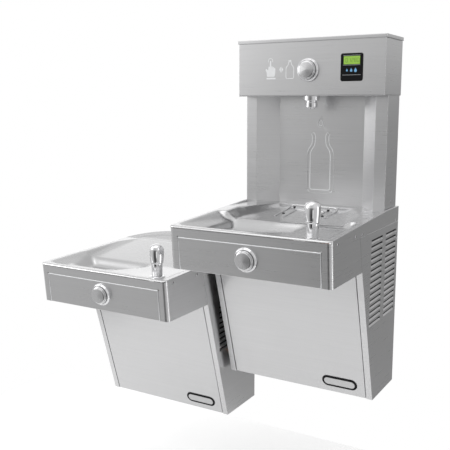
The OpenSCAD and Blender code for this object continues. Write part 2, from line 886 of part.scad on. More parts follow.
module rail_holes() {
    for (z = [rail_top - rail_h / 4, rail_top - 3 * rail_h / 4]) side_holes(half_w, -rail_end / 2, z);
}

module tall_side_right() side_panel(0);
module tall_side_left() mirror([1, 0, 0]) side_panel(cross_z);
module low_side_right() side_panel(cross_z + rim_step);
module low_side_left() mirror([1, 0, 0]) side_panel(0);

// Removable front panel, a shallow tray that fills the slope between the strips
front_x = half_w - strip_w;
sill = 21.5;
module front_panel() {
    color(steel) {
        intersection() {
            on_slope() {
                block([-front_x, 0, -foot_d], [front_x, sheet_t, 2 * apron_z]);
                both_sides() block([front_x - sheet_t, 0, -foot_d], [front_x, return_d, 2 * apron_z]);
            }
            block([-half_w, -basin_d, sheet_t + seat], [half_w, 0, apron_z - seat]);
        }
        block([weld + sheet_t / 2 - front_x, -foot_d, sheet_t + seat],
            [front_x - sheet_t / 2 - weld, sill - foot_d, 2 * sheet_t + seat]);
    }
}

// Base pan with turned-up sides
pan_edge = 15.5;
pan_side_h = 22;
pan_back = 2;
module base_pan() {
    color(dark_steel) {
        block([-inner_w, pan_edge - foot_d, 0], [inner_w, -pan_back, sheet_t]);
        both_sides() block([inner_w - sheet_t, pan_edge - foot_d, 0], [inner_w, -pan_back, pan_side_h]);
    }
}

module back_rail() {
    color(dark_steel) difference() {
        union() {
            block([-inner_w, -rail_front, rail_top - rail_h], [inner_w, -rail_y, rail_top + rail_t]);
            block([-hanger_w / 2, -rail_front, rail_top], [hanger_w / 2, -seat, rail_top + rail_t]);
            both_sides() block([inner_w - rail_t, -rail_end, rail_top - rail_h], [inner_w, -rail_y, rail_top]);
        }
        rail_holes();
    }
}

// Plate with four bolt holes, centred on the hanger's height
module hanger() {
    color(dark_steel) difference() {
        block([-hanger_w / 2, -hanger_t, hanger_z - hanger_h / 2], [hanger_w / 2, 0, hanger_z + hanger_h / 2]);
        for (side = [-1, 1], level = [-1, 1])
            translate([side * hanger_hole_x / 2, over, hanger_z + level * hanger_hole_z / 2])
                rotate([90, 0, 0]) cylinder(r = bolt_r, h = hanger_t + 2 * over);
    }
}

// Column of the filler: sides, front flanges, angled walls and back panel in one folded sheet
bead_w = 2.6;
bead_h = 0.9;
column_screw_y = -44;
column_screw_up = 24.5;
column_screw = [column_screw_y, ledge_z + column_screw_up];
module column_plan() {
    side = (column_w - sheet_t) / 2;
    front = sheet_t / 2 - column_d;
    flange = column_w / 2 - flange_w;
    back = alcove_d - column_d;
    right = [[side, 0], [side, front], [flange, front], [back_w / 2, back + sheet_t / 2]];
    folded(concat(right, [for (i = [3 : -1 : 0]) [-right[i][0], right[i][1]]]), sheet_t);
}

// Outline of a bottle under a drop, pressed into the alcove's back
bottle_foot = 34;
bottle_w = 87;
bottle_h = 186;
bottle_round = 11;
bottle_shares = [
    [0.5, 0.62], [0.48, 0.67], [0.29, 0.80], [0.275, 0.84], [0.275, 0.95], [0.33, 0.97], [0.33, 1]];
bottle_neck_share = 0.20;
module bottle_outline(inset) {
    w = bottle_w / 2 - inset;
    r = bottle_round - inset;
    right = concat([[w, bottle_round]], [for (p = bottle_shares) [p[0] * bottle_w - inset, p[1] * bottle_h]]);
    left = [for (i = [len(right) - 1 : -1 : 0]) [-right[i][0], right[i][1]]];
    polygon(concat(right, left));
    translate([r - w, inset]) square([2 * (w - r), r + weld]);
    for (side = [-1, 1]) translate([side * (w - r), bottle_round]) circle(r = r);
}

drop_up = 211;
drop_r = 11;
drop_tip = 24;
module drop_outline(inset) {
    r = drop_r - inset;
    circle(r = r);
    polygon([[-r * cos(30), r * sin(30)], [r * cos(30), r * sin(30)], [0, drop_tip - 2 * inset]]);
}

// The raised line round the bottle, open at the mouth, and round the drop
module alcove_beads() {
    difference() {
        bottle_outline(0);
        bottle_outline(bead_w);
        translate([-bottle_neck_share * bottle_w, bottle_h / 2])
            square([2 * bottle_neck_share * bottle_w, bottle_h]);
    }
    translate([0, drop_up]) difference() {
        drop_outline(0);
        drop_outline(bead_w);
    }
}

module filler_column() {
    panel_y = alcove_d - column_d;
    color(steel) difference() {
        union() {
            translate([0, 0, ledge_z]) linear_extrude(alcove_h) column_plan();
            along_y(panel_y - bead_h, panel_y + weld) translate([0, ledge_z + bottle_foot]) alcove_beads();
        }
        side_holes(column_w / 2, column_screw[0], column_screw[1]);
    }
}

// Plate on the wall behind the column, with turned-out sides
plate_t = 2;
plate_low = 25;
plate_side = 60;
plate_hole_x = 320;
plate_hole_z = 360;
module filler_wall_plate() {
    w = column_w / 2 - sheet_t;
    low = ledge_z + plate_low;
    top = cap_z - plate_low;
    mid = (low + top) / 2;
    color(dark_steel) difference() {
        union() {
            block([-w, -plate_t, low], [w, 0, top]);
            both_sides() block([w - plate_t, -plate_side, low], [w, 0, head_z - plate_low]);
        }
        for (side = [-1, 1], level = [-1, 1])
            translate([side * plate_hole_x / 2, over, mid + level * plate_hole_z / 2])
                rotate([90, 0, 0]) cylinder(r = bolt_r, h = plate_t + 2 * over);
        side_holes(column_w / 2, column_screw[0], column_screw[1]);
    }
}

// Head: front, sides and underside of folded sheet
duct_x = 120;
duct_back = 8;
duct_front = 40;
nozzle_y = nozzle_back - head_d;
module filler_head() {
    top = cap_z + cap_h - sheet_t;
    side = (head_w - sheet_t) / 2;
    front = sheet_t / 2 - head_d;
    color(steel) difference() {
        union() {
            translate([0, 0, head_z]) linear_extrude(top - head_z)
                folded([[-side, 0], [-side, front], [side, front], [side, 0]], sheet_t);
            block([-side, front, head_z], [side, -plate_t - seat, head_z + sheet_t]);
        }
        block([-duct_x, -duct_front, head_z - over], [duct_x, -duct_back, head_z + sheet_t + over]);
        translate([0, nozzle_y, head_z - over]) cylinder(r = shank_r + seat, h = sheet_t + 2 * over);
        on_head_button() translate([0, 0, -barrel_l]) cylinder(r = barrel_r + seat, h = 2 * barrel_l);
        on_display() block([-lens_w / 2 - lens_side, lens_up - lens_side, -barrel_l],
            [lens_w / 2 + lens_side, lens_up + lens_h + lens_side, barrel_l]);
    }
}

module filler_cap() {
    w = head_w / 2 + cap_over;
    d = head_d + cap_over;
    color(steel) {
        block([-w, -d, cap_z + cap_h - sheet_t], [w, 0, cap_z + cap_h]);
        block([-w, -d, cap_z], [w, sheet_t - d, cap_z + cap_h]);
        both_sides() block([w - sheet_t, -d, cap_z], [w, 0, cap_z + cap_h]);
    }
}

nozzle_r = 23;
nozzle_top_h = 13.5;
nozzle_neck_r = 16;
nozzle_neck_h = 5;
nozzle_low_r = 17.3;
nozzle_low_h = 15;
nozzle_tip_r = 10;
nozzle_tip_h = 3;
nozzle_bore_r = 5;
nozzle_shank_l = 22;
module nozzle() {
    neck = nozzle_top_h + nozzle_neck_h;
    low = neck + nozzle_low_h;
    tip = low + nozzle_tip_h;
    color(chrome) translate([0, nozzle_y, head_z]) rotate_extrude() polygon([
        [nozzle_bore_r, nozzle_shank_l], [shank_r, nozzle_shank_l], [shank_r, 0], [nozzle_r, 0],
        [nozzle_r, -nozzle_top_h], [nozzle_neck_r, -nozzle_top_h], [nozzle_neck_r, -neck],
        [nozzle_low_r, -neck], [nozzle_low_r, -low], [nozzle_tip_r, -low], [nozzle_tip_r, -tip],
        [nozzle_bore_r, -tip]]);
}

// Display: Z points out of the head
lens_w = 47.5;
lens_h = 22;
lens_up = 8;
lens_side = 2;
lens_in = 2.4;
bezel_t = 1.6;
board_t = 1.6;
board_gap = 4;
module on_display() {
    translate([bezel_x, -head_d, head_z + bezel_z]) rotate([90, 0, 0]) children();
}

module round_plate(w, h, r) {
    translate([-w / 2, r - h / 2]) square([w, h - 2 * r]);
    translate([r - w / 2, -h / 2]) square([w - 2 * r, h]);
    for (x = [-1, 1], y = [-1, 1]) translate([x * (w / 2 - r), y * (h / 2 - r)]) circle(r = r);
}

module display_bezel() {
    color(black) on_display() difference() {
        linear_extrude(bezel_t) round_plate(bezel_w, bezel_h, bezel_r);
        block([-lens_w / 2 - seat, lens_up - seat, -over],
            [lens_w / 2 + seat, lens_up + lens_h + seat, bezel_t + over]);
    }
}

module display_window() {
    color("yellowgreen") on_display() {
        block([-lens_w / 2, lens_up, -lens_in], [lens_w / 2, lens_up + lens_h, bezel_t - seat]);
    }
}

// Board held on the back of the sheet by four posts
post_r = 2.5;
post_in = 4;
module display_board() {
    back = -sheet_t - board_gap;
    color("seagreen") on_display() {
        block([-bezel_w / 2, -bezel_h / 2, back - board_t], [bezel_w / 2, bezel_h / 2, back]);
        for (x = [-1, 1], y = [-1, 1])
            translate([x * (bezel_w / 2 - post_in), y * (bezel_h / 2 - post_in), back - weld])
                cylinder(r = post_r, h = board_gap + weld);
        block([-lens_w / 2, lens_up, back - weld], [lens_w / 2, lens_up + lens_h, -lens_in - seat]);
    }
}

// Cooling: compressor, condenser and fan behind the right side, chiller in the middle
pan_top = sheet_t;
chiller_r = 56;
compressor_x = -(inner_w + chiller_r) / 2;
compressor_y = -95;
compressor_r = 60;
compressor_h = 165;
mount_h = 12;
compressor_top = pan_top + mount_h + compressor_h;
mount_r = 9;
mount_x = 48;
mount_y = 40;
plate_h = 2.5;
band_out = 2;
module compressor() {
    color(black) translate([compressor_x, compressor_y, pan_top]) {
        translate([0, 0, mount_h]) block([-mount_x - mount_r, -mount_y - mount_r, 0],
            [mount_x + mount_r, mount_y + mount_r, plate_h]);
        for (x = [-1, 1], y = [-1, 1])
            translate([x * mount_x, y * mount_y, 0]) cylinder(r = mount_r, h = mount_h + weld);
        translate([0, 0, mount_h]) dome_can(compressor_r, compressor_h);
        translate([0, 0, mount_h + compressor_h / 2]) cylinder(r = compressor_r + band_out, h = plate_h);
    }
}

coil_gap = 10;
coil_d = 30;
coil_x1 = inner_w - coil_gap;
coil_x0 = coil_x1 - coil_d;
coil_y0 = -160;
coil_y1 = -20;
coil_low = 225;
coil_top = 385;
fin_t = 0.6;
fins = 11;
coil_tube_r = 4;
coil_rows = 6;
module condenser_plates() {
    color(dark_steel)
        for (y = [coil_y0, coil_y1 - sheet_t]) block([coil_x0, y, pan_top], [coil_x1, y + sheet_t, coil_top]);
}

module condenser() {
    span = coil_y1 - coil_y0;
    tube_l = span - 2 * (sheet_t + seat);
    step = (coil_top - coil_low) / coil_rows;
    color(dark_steel) {
        for (i = [1 : fins]) translate([coil_x0, coil_y0 + i * span / (fins + 1), coil_low])
            cube([coil_x1 - coil_x0, fin_t, coil_top - coil_low]);
        for (i = [0 : coil_rows - 1])
            translate([(coil_x0 + coil_x1) / 2, coil_y1 - sheet_t - seat, coil_low + (i + 0.5) * step])
            rotate([90, 0, 0]) cylinder(r = coil_tube_r, h = tube_l);
    }
}

fan_y = (coil_y0 + coil_y1) / 2;
fan_z = (coil_low + coil_top) / 2;
fan_r = 60;
fan_clear = 4;
shroud_d = 8;
motor_gap = 34;
motor_l = 28;
motor_x1 = coil_x0 - motor_gap;
motor_x0 = motor_x1 - motor_l;
motor_r = 28;
shaft_r = 3;
shaft_clear = 0.06;
spider_t = 5;
spider_w = 8;
module on_fan(x) {
    translate([x, fan_y, fan_z]) rotate([0, 90, 0]) children();
}

module fan_shroud() {
    plate = coil_x0 - shroud_d;
    leg = fan_r + fan_clear;
    color(dark_steel) {
        difference() {
            union() {
                block([plate, coil_y0, coil_low], [plate + sheet_t, coil_y1, coil_top]);
                for (y = [coil_y0, coil_y1 - sheet_t])
                    block([plate, y, coil_low], [coil_x0, y + sheet_t, coil_top]);
            }
            on_fan(plate - over) cylinder(r = leg, h = sheet_t + 2 * over);
        }
        for (a = [45 : 90 : 315]) on_fan(motor_x0) rotate(a) {
            block([motor_r + seat + spider_t / 2, -spider_w / 2, seat], [leg + spider_w, spider_w / 2, spider_t]);
            block([leg + sheet_t, -spider_w / 2, seat], [leg + spider_w, spider_w / 2, plate - motor_x0 + weld]);
        }
        on_fan(motor_x0) difference() {
            cylinder(r = motor_r + seat + spider_t, h = spider_t + seat);
            translate([0, 0, -over]) cylinder(r = motor_r + seat, h = spider_t + 3 * over);
        }
    }
}

module fan_motor() {
    color(black) difference() {
        union() {
            on_fan(motor_x0) cylinder(r = motor_r, h = motor_x1 - motor_x0);
            on_fan(motor_x0 - spider_t) cylinder(r = motor_r + spider_t, h = spider_t);
        }
        on_fan((motor_x0 + motor_x1) / 2) cylinder(r = shaft_r + shaft_clear, h = motor_x1);
    }
}

hub_r = 15;
hub_l = 14;
blades = 5;
blade_w = 30;
blade_t = 1.6;
blade_pitch = 28;
module fan_blade() {
    hub = motor_x1 + spider_t;
    color(white_plastic) {
        on_fan(motor_x0 + (motor_x1 - motor_x0) / 2 + over) cylinder(r = shaft_r, h = hub - motor_x0 - over);
        on_fan(hub) difference() {
            union() {
                cylinder(r = hub_r, h = hub_l);
                intersection() {
                    for (i = [0 : blades - 1]) rotate(360 * i / blades) translate([0, 0, hub_l / 2])
                        rotate([blade_pitch, 0, 0])
                        block([0, -blade_w / 2, -blade_t / 2], [fan_r, blade_w / 2, blade_t / 2]);
                    cylinder(r = fan_r, h = hub_l);
                }
            }
        }
    }
}

chiller_y = -95;
chiller_drop = 285;
chiller_h = rim_h - chiller_drop;
foot_r = 40;
foot_h = 8;
chiller_port_h = 12;
feed_x = 20;
feed_y = -22;
port_spread = 35;
low_port_y = chiller_y - port_spread;
feed_port_y = chiller_y + port_spread;
function chiller_ports() = [
    [-feed_x, chiller_y], [feed_x, chiller_y], [feed_x, feed_port_y], [0, low_port_y]];
chiller_top = pan_top + foot_h + chiller_h + chiller_port_h;
module chiller_tank() {
    color(white_plastic) {
        translate([0, chiller_y, pan_top]) {
            cylinder(r = foot_r, h = 3 * foot_h);
            translate([0, 0, foot_h]) dome_can(chiller_r, chiller_h);
        }
        for (p = chiller_ports()) translate([p[0], p[1], chiller_top - 4 * chiller_port_h])
            cylinder(r = port_r, h = 4 * chiller_port_h);
    }
}

filter_share = 0.6466;
filter_x = -inner_w * filter_share;
filter_y = -62;
filter_head_w = 60;
filter_head_h = 30;
filter_drop = 100;
filter_z = rail_top - filter_drop;
cartridge_r = 40;
neck_r = 18;
neck_h = 10;
cartridge_gap = 36.8;
cartridge_h = filter_z - neck_h - compressor_top - cartridge_gap;
bracket_t = 3;
bracket_w = 50;
module filter_head() {
    half = filter_head_w / 2;
    color(white_plastic) {
        translate([filter_x, filter_y, filter_z]) block([-half, -half, 0], [half, half, filter_head_h]);
        block([filter_x - bracket_w / 2, filter_y, filter_z],
            [filter_x + bracket_w / 2, -rail_front, filter_z + bracket_t]);
        block([filter_x - bracket_w / 2, -rail_front - bracket_t, filter_z],
            [filter_x + bracket_w / 2, -rail_front, rail_top - bracket_t]);
    }
}

module filter_cartridge() {
    color(white_plastic) translate([filter_x, filter_y, filter_z - neck_h]) {
        cylinder(r = neck_r, h = neck_h);
        translate([0, 0, -cartridge_h]) dome_can(cartridge_r, cartridge_h + neck_h / 2);
    }
}

box_gap = 34;
box_w = 90;
box_x0 = chiller_r + box_gap;
box_x1 = box_x0 + box_w;
box_y0 = -150;
box_y1 = -30;
box_h = 58;
gland_r = 11;
gland_bore_r = 4.5;
gland_l = 20;
module control_box() {
    gland = [(box_x0 + box_x1) / 2, pan_top + box_h / 2];
    color(dark_steel) difference() {
        union() {
            block([box_x0, box_y0, pan_top], [box_x1, box_y1, pan_top + box_h]);
            translate([gland[0], box_y1 + gland_l, gland[1]]) rotate([90, 0, 0])
                cylinder(r = gland_r, h = gland_l + over);
        }
        translate([gland[0], box_y1 + gland_l + over, gland[1]]) rotate([90, 0, 0])
            cylinder(r = gland_bore_r, h = gland_l + over);
    }
}

// Water tubes: from the wall to the filter, the chiller, the valves, the bubblers and the nozzle
inlet_share = 0.8621;
inlet_x = -inner_w * inlet_share;
inlet_z = filter_z + filter_head_h / 2;
tube_front_y = -160;
valve_tube_x = 40;
valve_tube_up = 25;
valve_tube_z = apron_z + valve_tube_up;
filter_tube_share = 0.4526;
filter_tube_x = -inner_w * filter_tube_share;
chiller_in_up = 43.5;
chiller_in_z = chiller_top + chiller_in_up;
feed_top = 38;
jet_tube_up = 42;
port_x = valve_r + port_out;
side_port = barrel_l + port_at;
rear_port = barrel_l + valve_l + port_out;
port_y = button_y + side_port * cos(lean_a);
port_z = button_z + side_port * sin(lean_a);
rear_y = button_y + (rear_port + 2 * seat + weld) * cos(lean_a);
rear_z = button_z + (rear_port + 2 * seat + weld) * sin(lean_a);

// From the valve's rear port to the bubbler's shank
module bubbler_tube() {
    tube_run([[0, rear_y, rear_z], [0, bubbler_y, rear_z], [bubbler_x, bubbler_y, rear_z],
        [bubbler_x, bubbler_y, deck_z - shank_l - seat]]);
}

module water_tubes() {
    head_side = filter_head_w / 2;
    drop_z = filler_button_z - feed_top;
    filler_port_y = side_port - head_d;
    filler_rear_y = rear_port - head_d;
    nozzle_tube_y = filler_rear_y + nozzle_shank_l;
    nozzle_tube_z = head_z + jet_tube_up;
    low_x = valve_tube_x - unit_pitch;
    low_turn_z = chiller_top + chiller_port_h;
    color(copper) {
        on_tall() {
            tube_run([
                [inlet_x, 0, inlet_z], [inlet_x, filter_y, inlet_z],
                [filter_x - head_side, filter_y, inlet_z]]);
            tube_run([
                [filter_x + head_side, filter_y, inlet_z], [filter_tube_x, filter_y, inlet_z],
                [filter_tube_x, tube_front_y, inlet_z], [-feed_x, tube_front_y, inlet_z],
                [-feed_x, tube_front_y, chiller_in_z], [-feed_x, chiller_y, chiller_in_z],
                [-feed_x, chiller_y, chiller_top]]);
            tube_run([
                [feed_x, chiller_y, chiller_top], [feed_x, chiller_y, valve_tube_z],
                [valve_tube_x, chiller_y, valve_tube_z], [valve_tube_x, port_y, valve_tube_z],
                [valve_tube_x, port_y, port_z], [port_x + seat, port_y, port_z]]);
            tube_run([
                [feed_x, feed_port_y, chiller_top], [feed_x, feed_port_y, chiller_in_z],
                [feed_x, feed_y, chiller_in_z], [feed_x, feed_y, drop_z], [valve_tube_x, feed_y, drop_z],
                [valve_tube_x, filler_port_y, drop_z], [valve_tube_x, filler_port_y, filler_button_z],
                [port_x + seat, filler_port_y, filler_button_z]]);
            tube_run([
                [0, filler_rear_y + seat, filler_button_z], [0, nozzle_tube_y, filler_button_z],
                [0, nozzle_tube_y, nozzle_tube_z], [0, nozzle_y, nozzle_tube_z],
                [0, nozzle_y, head_z + nozzle_shank_l + seat]]);
            bubbler_tube();
            tube_run([
                [0, low_port_y, chiller_top], [0, low_port_y, low_turn_z], [0, cross_y, low_turn_z],
                [0, cross_y, cross_z], [low_x, cross_y, cross_z], [low_x, cross_y, valve_tube_z - rim_step],
                [low_x, port_y, valve_tube_z - rim_step], [low_x, port_y, port_z - rim_step],
                [port_x + seat - unit_pitch, port_y, port_z - rim_step]]);
        }
        on_low() bubbler_tube();
    }
}

// Pan-head screws of the aprons, the rails and the column
screw_head_r = 4.2;
screw_head_h = 1.8;
screw_l = 7;
module screw() {
    rotate([0, 90, 0]) {
        cylinder(r = screw_head_r, h = screw_head_h);
        translate([0, 0, -screw_l]) cylinder(r = screw_r, h = screw_l + weld);
    }
}

module cabinet_screws(count) {
    both_sides() {
        for (i = [0 : count - 1]) translate([half_w, band_screw_y[i], band_screw_z[i]]) screw();
        for (z = [rail_top - rail_h / 4, rail_top - 3 * rail_h / 4])
            translate([half_w, -rail_end / 2, z]) screw();
    }
}

module casing_screws() {
    color(chrome) {
        on_tall() cabinet_screws(len(band_screw_y));
        on_low() cabinet_screws(len(band_screw_in));
        on_tall() both_sides() translate([column_w / 2, column_screw[0], column_screw[1]]) screw();
    }
}

on_tall() filler_head();
on_tall() filler_cap();
on_tall() filler_column();
on_tall() filler_wall_plate();
on_tall() on_head_button() push_button();  // filler_button
on_tall() on_head_button() button_ring();  // filler_button_ring
on_tall() on_head_button() button_spring();  // filler_spring
on_tall() on_head_button() valve();  // filler_valve
on_tall() nozzle();
on_tall() display_bezel();
on_tall() display_window();
on_tall() display_board();
on_tall() tall_basin();
on_tall() tall_apron();
on_tall() apron_panel();  // tall_apron_panel
on_tall() bubbler();  // tall_bubbler
on_tall() bubbler_flange();  // tall_bubbler_flange
on_tall() on_apron_button() push_button();  // tall_button
on_tall() on_apron_button() button_ring();  // tall_button_ring
on_tall() on_apron_button() button_spring();  // tall_spring
on_tall() on_apron_button() valve();  // tall_valve
on_tall() strainer();  // tall_strainer
on_tall() trap();  // tall_trap
on_tall() tall_side_left();
on_tall() tall_side_right();
on_tall() front_panel();  // tall_front_panel
on_tall() base_pan();  // tall_base_pan
on_tall() back_rail();  // tall_back_rail
on_tall() hanger();  // tall_hanger
on_low() low_basin();
on_low() low_apron();
on_low() apron_panel();  // low_apron_panel
on_low() bubbler();  // low_bubbler
on_low() bubbler_flange();  // low_bubbler_flange
on_low() on_apron_button() push_button();  // low_button
on_low() on_apron_button() button_ring();  // low_button_ring
on_low() on_apron_button() button_spring();  // low_spring
on_low() on_apron_button() valve();  // low_valve
on_low() strainer();  // low_strainer
on_low() trap();  // low_trap
on_low() low_side_left();
on_low() low_side_right();
on_low() front_panel();  // low_front_panel
on_low() base_pan();  // low_base_pan
on_low() back_rail();  // low_back_rail
on_low() hanger();  // low_hanger
on_tall() compressor();
on_tall() condenser();
on_tall() condenser_plates();
on_tall() fan_shroud();
on_tall() fan_motor();
on_tall() fan_blade();
on_tall() chiller_tank();
on_tall() filter_head();
on_tall() filter_cartridge();
on_tall() control_box();
water_tubes();
casing_screws();
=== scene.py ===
"""Looks of a wall-hung bottle filling station: two fountains, and a filler on the taller one."""

import math
from itertools import product

import bmesh
import bpy
import numpy as np
from bpy.props import FloatProperty, FloatVectorProperty, IntProperty, PointerProperty
from mathutils import Matrix, Vector
from mathutils.bvhtree import BVHTree


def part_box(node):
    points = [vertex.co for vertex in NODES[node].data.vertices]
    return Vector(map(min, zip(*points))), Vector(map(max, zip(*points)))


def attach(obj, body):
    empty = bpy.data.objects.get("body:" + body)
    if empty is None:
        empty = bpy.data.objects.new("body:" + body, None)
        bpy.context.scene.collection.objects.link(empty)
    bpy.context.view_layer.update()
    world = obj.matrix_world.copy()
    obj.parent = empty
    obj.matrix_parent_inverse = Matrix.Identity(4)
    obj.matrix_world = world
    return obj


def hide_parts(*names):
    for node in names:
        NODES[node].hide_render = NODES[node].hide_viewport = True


bl_info = {
    "name": "Bottle Filling Station",
    "version": (1, 0, 0),
    "blender": (4, 5, 0),
    "location": "View3D > Sidebar > Station",
    "description": "Finishes, pressed basins, louvres and fittings of a wall-hung bottle filling station",
    "category": "Object",
}

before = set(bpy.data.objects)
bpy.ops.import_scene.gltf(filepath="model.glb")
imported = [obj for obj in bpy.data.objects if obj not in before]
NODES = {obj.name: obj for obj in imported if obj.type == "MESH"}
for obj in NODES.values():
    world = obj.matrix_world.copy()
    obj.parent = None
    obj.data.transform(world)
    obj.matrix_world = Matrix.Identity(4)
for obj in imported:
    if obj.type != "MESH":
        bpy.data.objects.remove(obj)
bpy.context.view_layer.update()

# Where each fountain's foot stands on the wall
HANGER = 0.445
UNITS = {"tall": Vector((0.0, 0.0, -HANGER)), "low": Vector((-0.482, 0.0, -HANGER - 0.157))}

# Cabinet and basin: X from the unit's middle, Y from the wall, heights above the unit's foot
HALF = 0.2335
DEPTH = 0.515
FOOT_D = 0.182
WAIST_D = 0.298
STRIP = 0.0195
SHEET = 0.0015
CORNER = 0.012
RIM = 0.520
RIM_RISE = 0.021
COLUMN_D = 0.102
LEDGE = 0.5355
LEDGE_HALF = 0.2265
DECK = 0.507
BOWL = 0.484
BUBBLER = Vector((0.14991, -0.43775))
STEM_HOLE = 0.0106
DRAIN = Vector((-0.07005, -0.389855))
DRAIN_R = 0.0220

# Arched back of the lower basin
ARCH_R = 0.208
ARCH_Y = -0.202
ARCH_HALF_FLAT = 0.055
SHELF = RIM - 0.019

# Apron: its face leans back towards its foot
APRON_FOOT = 0.400
APRON_H = 0.120
APRON_LEAN = 0.0105
LEAN = math.atan(APRON_LEAN / APRON_H)
STILE = 0.0275
BAND = 0.029
APRON_GAP = 0.0008
HEM_TOP = 0.0893
BUTTON_UP = 0.050

# Bottle filler
HEAD_FRONT = -0.145
HEAD_FOOT = 0.417
ALCOVE_D = 0.056

# Louvres: rows in two columns, each a window in the sheet over a flap pressed into the cabinet
ROWS = 15
PITCH = 0.0168
LOUVRE_W = 0.092
LOUVRE_COLUMNS = (-0.231, -0.110)
LOUVRE_TOP = RIM - 0.045
WINDOW = (-0.0098, 0.0010)
FLAP_RISE = 0.0036
FLAP_SINK = 0.0038
FLAP_T = 0.0010
SCREEN_IN = 0.0060
FIELD_RIM = 0.004

# Camera, as it was fitted to the photograph
YAW = math.radians(30.837)
PITCHED = math.radians(9.732)
ROLL = -0.0033
CAMERA = (0.8496, -2.035, 0.394)
FOCAL_SHARE = 704.15 / 450
SENSOR_MM = 36


def colour_of(label, hint, value):
    return FloatVectorProperty(name=label, description=hint, subtype="COLOR", default=value, min=0, max=1)


def share_of(label, hint, value):
    return FloatProperty(name=label, description=hint, default=value, min=0, max=1)


def length_of(label, hint, value):
    return FloatProperty(name=label, description=hint, default=value, unit="LENGTH")


class StationSteel(bpy.types.PropertyGroup):
    tone: colour_of("Steel", "Colour of the brushed steel", (0.62, 0.62, 0.625))
    roughness: share_of("Roughness", "Roughness of the brushed steel", 0.30)
    grain: share_of("Grain", "Strength of the brushing lines", 0.12)
    lines: FloatProperty(name="Lines", description="Brushing lines to the metre", default=620,
                         min=50, max=3000)
    chrome: colour_of("Chrome", "Colour of the plated fittings", (0.80, 0.80, 0.81))


class StationSheets(bpy.types.PropertyGroup):
    fold: length_of("Fold", "Rounding of the head's folds", 0.0032)
    hem: length_of("Hem", "Rounding of a hemmed edge", 0.0014)


class StationBasins(bpy.types.PropertyGroup):
    cell: length_of("Cell", "Size of a mesh cell", 0.0025)
    lip: length_of("Lip", "Softness of a hollow's lip", 0.0030)
    floor: length_of("Floor", "Softness at a hollow's floor", 0.0065)
    nose: length_of("Nose", "Radius of the rolled front edge", 0.0048)


class StationDisplay(bpy.types.PropertyGroup):
    lamp: colour_of("Backlight", "Colour of the lit window", (0.27, 0.50, 0.05))
    count: IntProperty(name="Count", description="Bottles counted on the window", default=1280,
                       min=0, max=99999)
    mark: colour_of("Mark", "Colour of the printed drops", (0.20, 0.48, 0.78))


class StationStudio(bpy.types.PropertyGroup):
    drop: length_of("Floor", "Height of the floor", -0.888)
    reach: length_of("Reach", "Radius of the floor", 1.3)
    soft: FloatProperty(name="Softboxes", description="Power of the lamps in watts", default=9.0, min=0)


def sum_of(operation, swap=False):
    """A method that adds one Math node to the board."""

    def add_node(self, other=0.0):
        a, b = (other, self) if swap else (self, other)
        return self.board.add("ShaderNodeMath", {"operation": operation}, {0: a, 1: b})[0]

    return add_node


class Wire:
    """One value in a material; sums on it add the Math nodes."""

    def __init__(self, board, socket):
        self.board, self.socket = board, socket

    __add__ = __radd__ = sum_of("ADD")
    __sub__ = sum_of("SUBTRACT")
    __rsub__ = sum_of("SUBTRACT", swap=True)
    __mul__ = __rmul__ = sum_of("MULTIPLY")
    __truediv__ = sum_of("DIVIDE")
    __pow__ = sum_of("POWER")
    __abs__ = sum_of("ABSOLUTE")
    sine = sum_of("SINE")
    least = sum_of("MINIMUM")
    most = sum_of("MAXIMUM")

    def ramp(self, low, high):
        """0 below low, 1 above high, and smooth between them."""
        return self.board.add("ShaderNodeMapRange", {"interpolation_type": "SMOOTHSTEP"},
                              {"Value": self, "From Min": low, "From Max": high})[0]


class Board:
    """A node tree that is being wired."""

    def __init__(self, tree):
        self.tree = tree

    def add(self, kind, settings=None, inputs=None):
        """A node of that type: its settings first, then the values or wires of its sockets."""
        node = self.tree.nodes.new(kind)
        for key, value in (settings or {}).items():
            setattr(node, key, value)
        for key, value in (inputs or {}).items():
            if isinstance(value, Wire):
                self.tree.links.new(value.socket, node.inputs[key])
            else:
                node.inputs[key].default_value = value
        return [Wire(self, s) for s in node.outputs]

    def place(self):
        return self.add("ShaderNodeTexCoord")[3]

    def moved(self, place, location=(0, 0, 0), rotation=(0, 0, 0), scale=(1, 1, 1), kind="POINT"):
        return self.add("ShaderNodeMapping", {"vector_type": kind},
                        {"Vector": place, "Location": location, "Rotation": rotation, "Scale": scale})[0]

    def noise(self, place, scale=1.0, detail=2.0, rough=0.55, warp=0.0):
        return self.add("ShaderNodeTexNoise", {}, {"Vector": place, "Scale": scale, "Detail": detail,
                                                   "Roughness": rough, "Distortion": warp})[0]

    def cells(self, place, scale, uneven=1.0):
        """Distance and colour of a pattern of cells."""
        return self.add("ShaderNodeTexVoronoi", {}, {"Vector": place, "Scale": scale, "Randomness": uneven})

    def parts(self, vector):
        return self.add("ShaderNodeSeparateXYZ", {}, {0: vector})

    def joined(self, *parts):
        return self.add("ShaderNodeCombineXYZ", {}, dict(enumerate(parts)))[0]

    def blend(self, factor, first, second):
        """Colour: first where factor is 0, second where it is 1."""
        paint = [v if isinstance(v, Wire) else (*v, 1) for v in (first, second)]
        return self.add("ShaderNodeMix", {"data_type": "RGBA"}, {0: factor, 6: paint[0], 7: paint[1]})[2]

    def bump(self, height, strength, distance):
        return self.add("ShaderNodeBump", {},
                        {"Strength": strength, "Distance": distance, "Height": height})[0]

    def surface(self, **inputs):
        """The Principled shader at the end of a material, with socket names written with _ for a space."""
        named = {key.replace("_", " "): value for key, value in inputs.items()}
        shader = self.add("ShaderNodeBsdfPrincipled", {}, named)[0]
        self.add("ShaderNodeOutputMaterial", {}, {0: shader})


def finish(wire_up):
    """Makes a wiring function give the material of a name, which is wired once."""

    def give(name, *values, **named):
        made = bpy.data.materials.get(name)
        if made is None:
            made = bpy.data.materials.new(name)
            made.use_nodes = True
            made.node_tree.nodes.clear()
            wire_up(Board(made.node_tree), *values, **named)
        return made

    return give


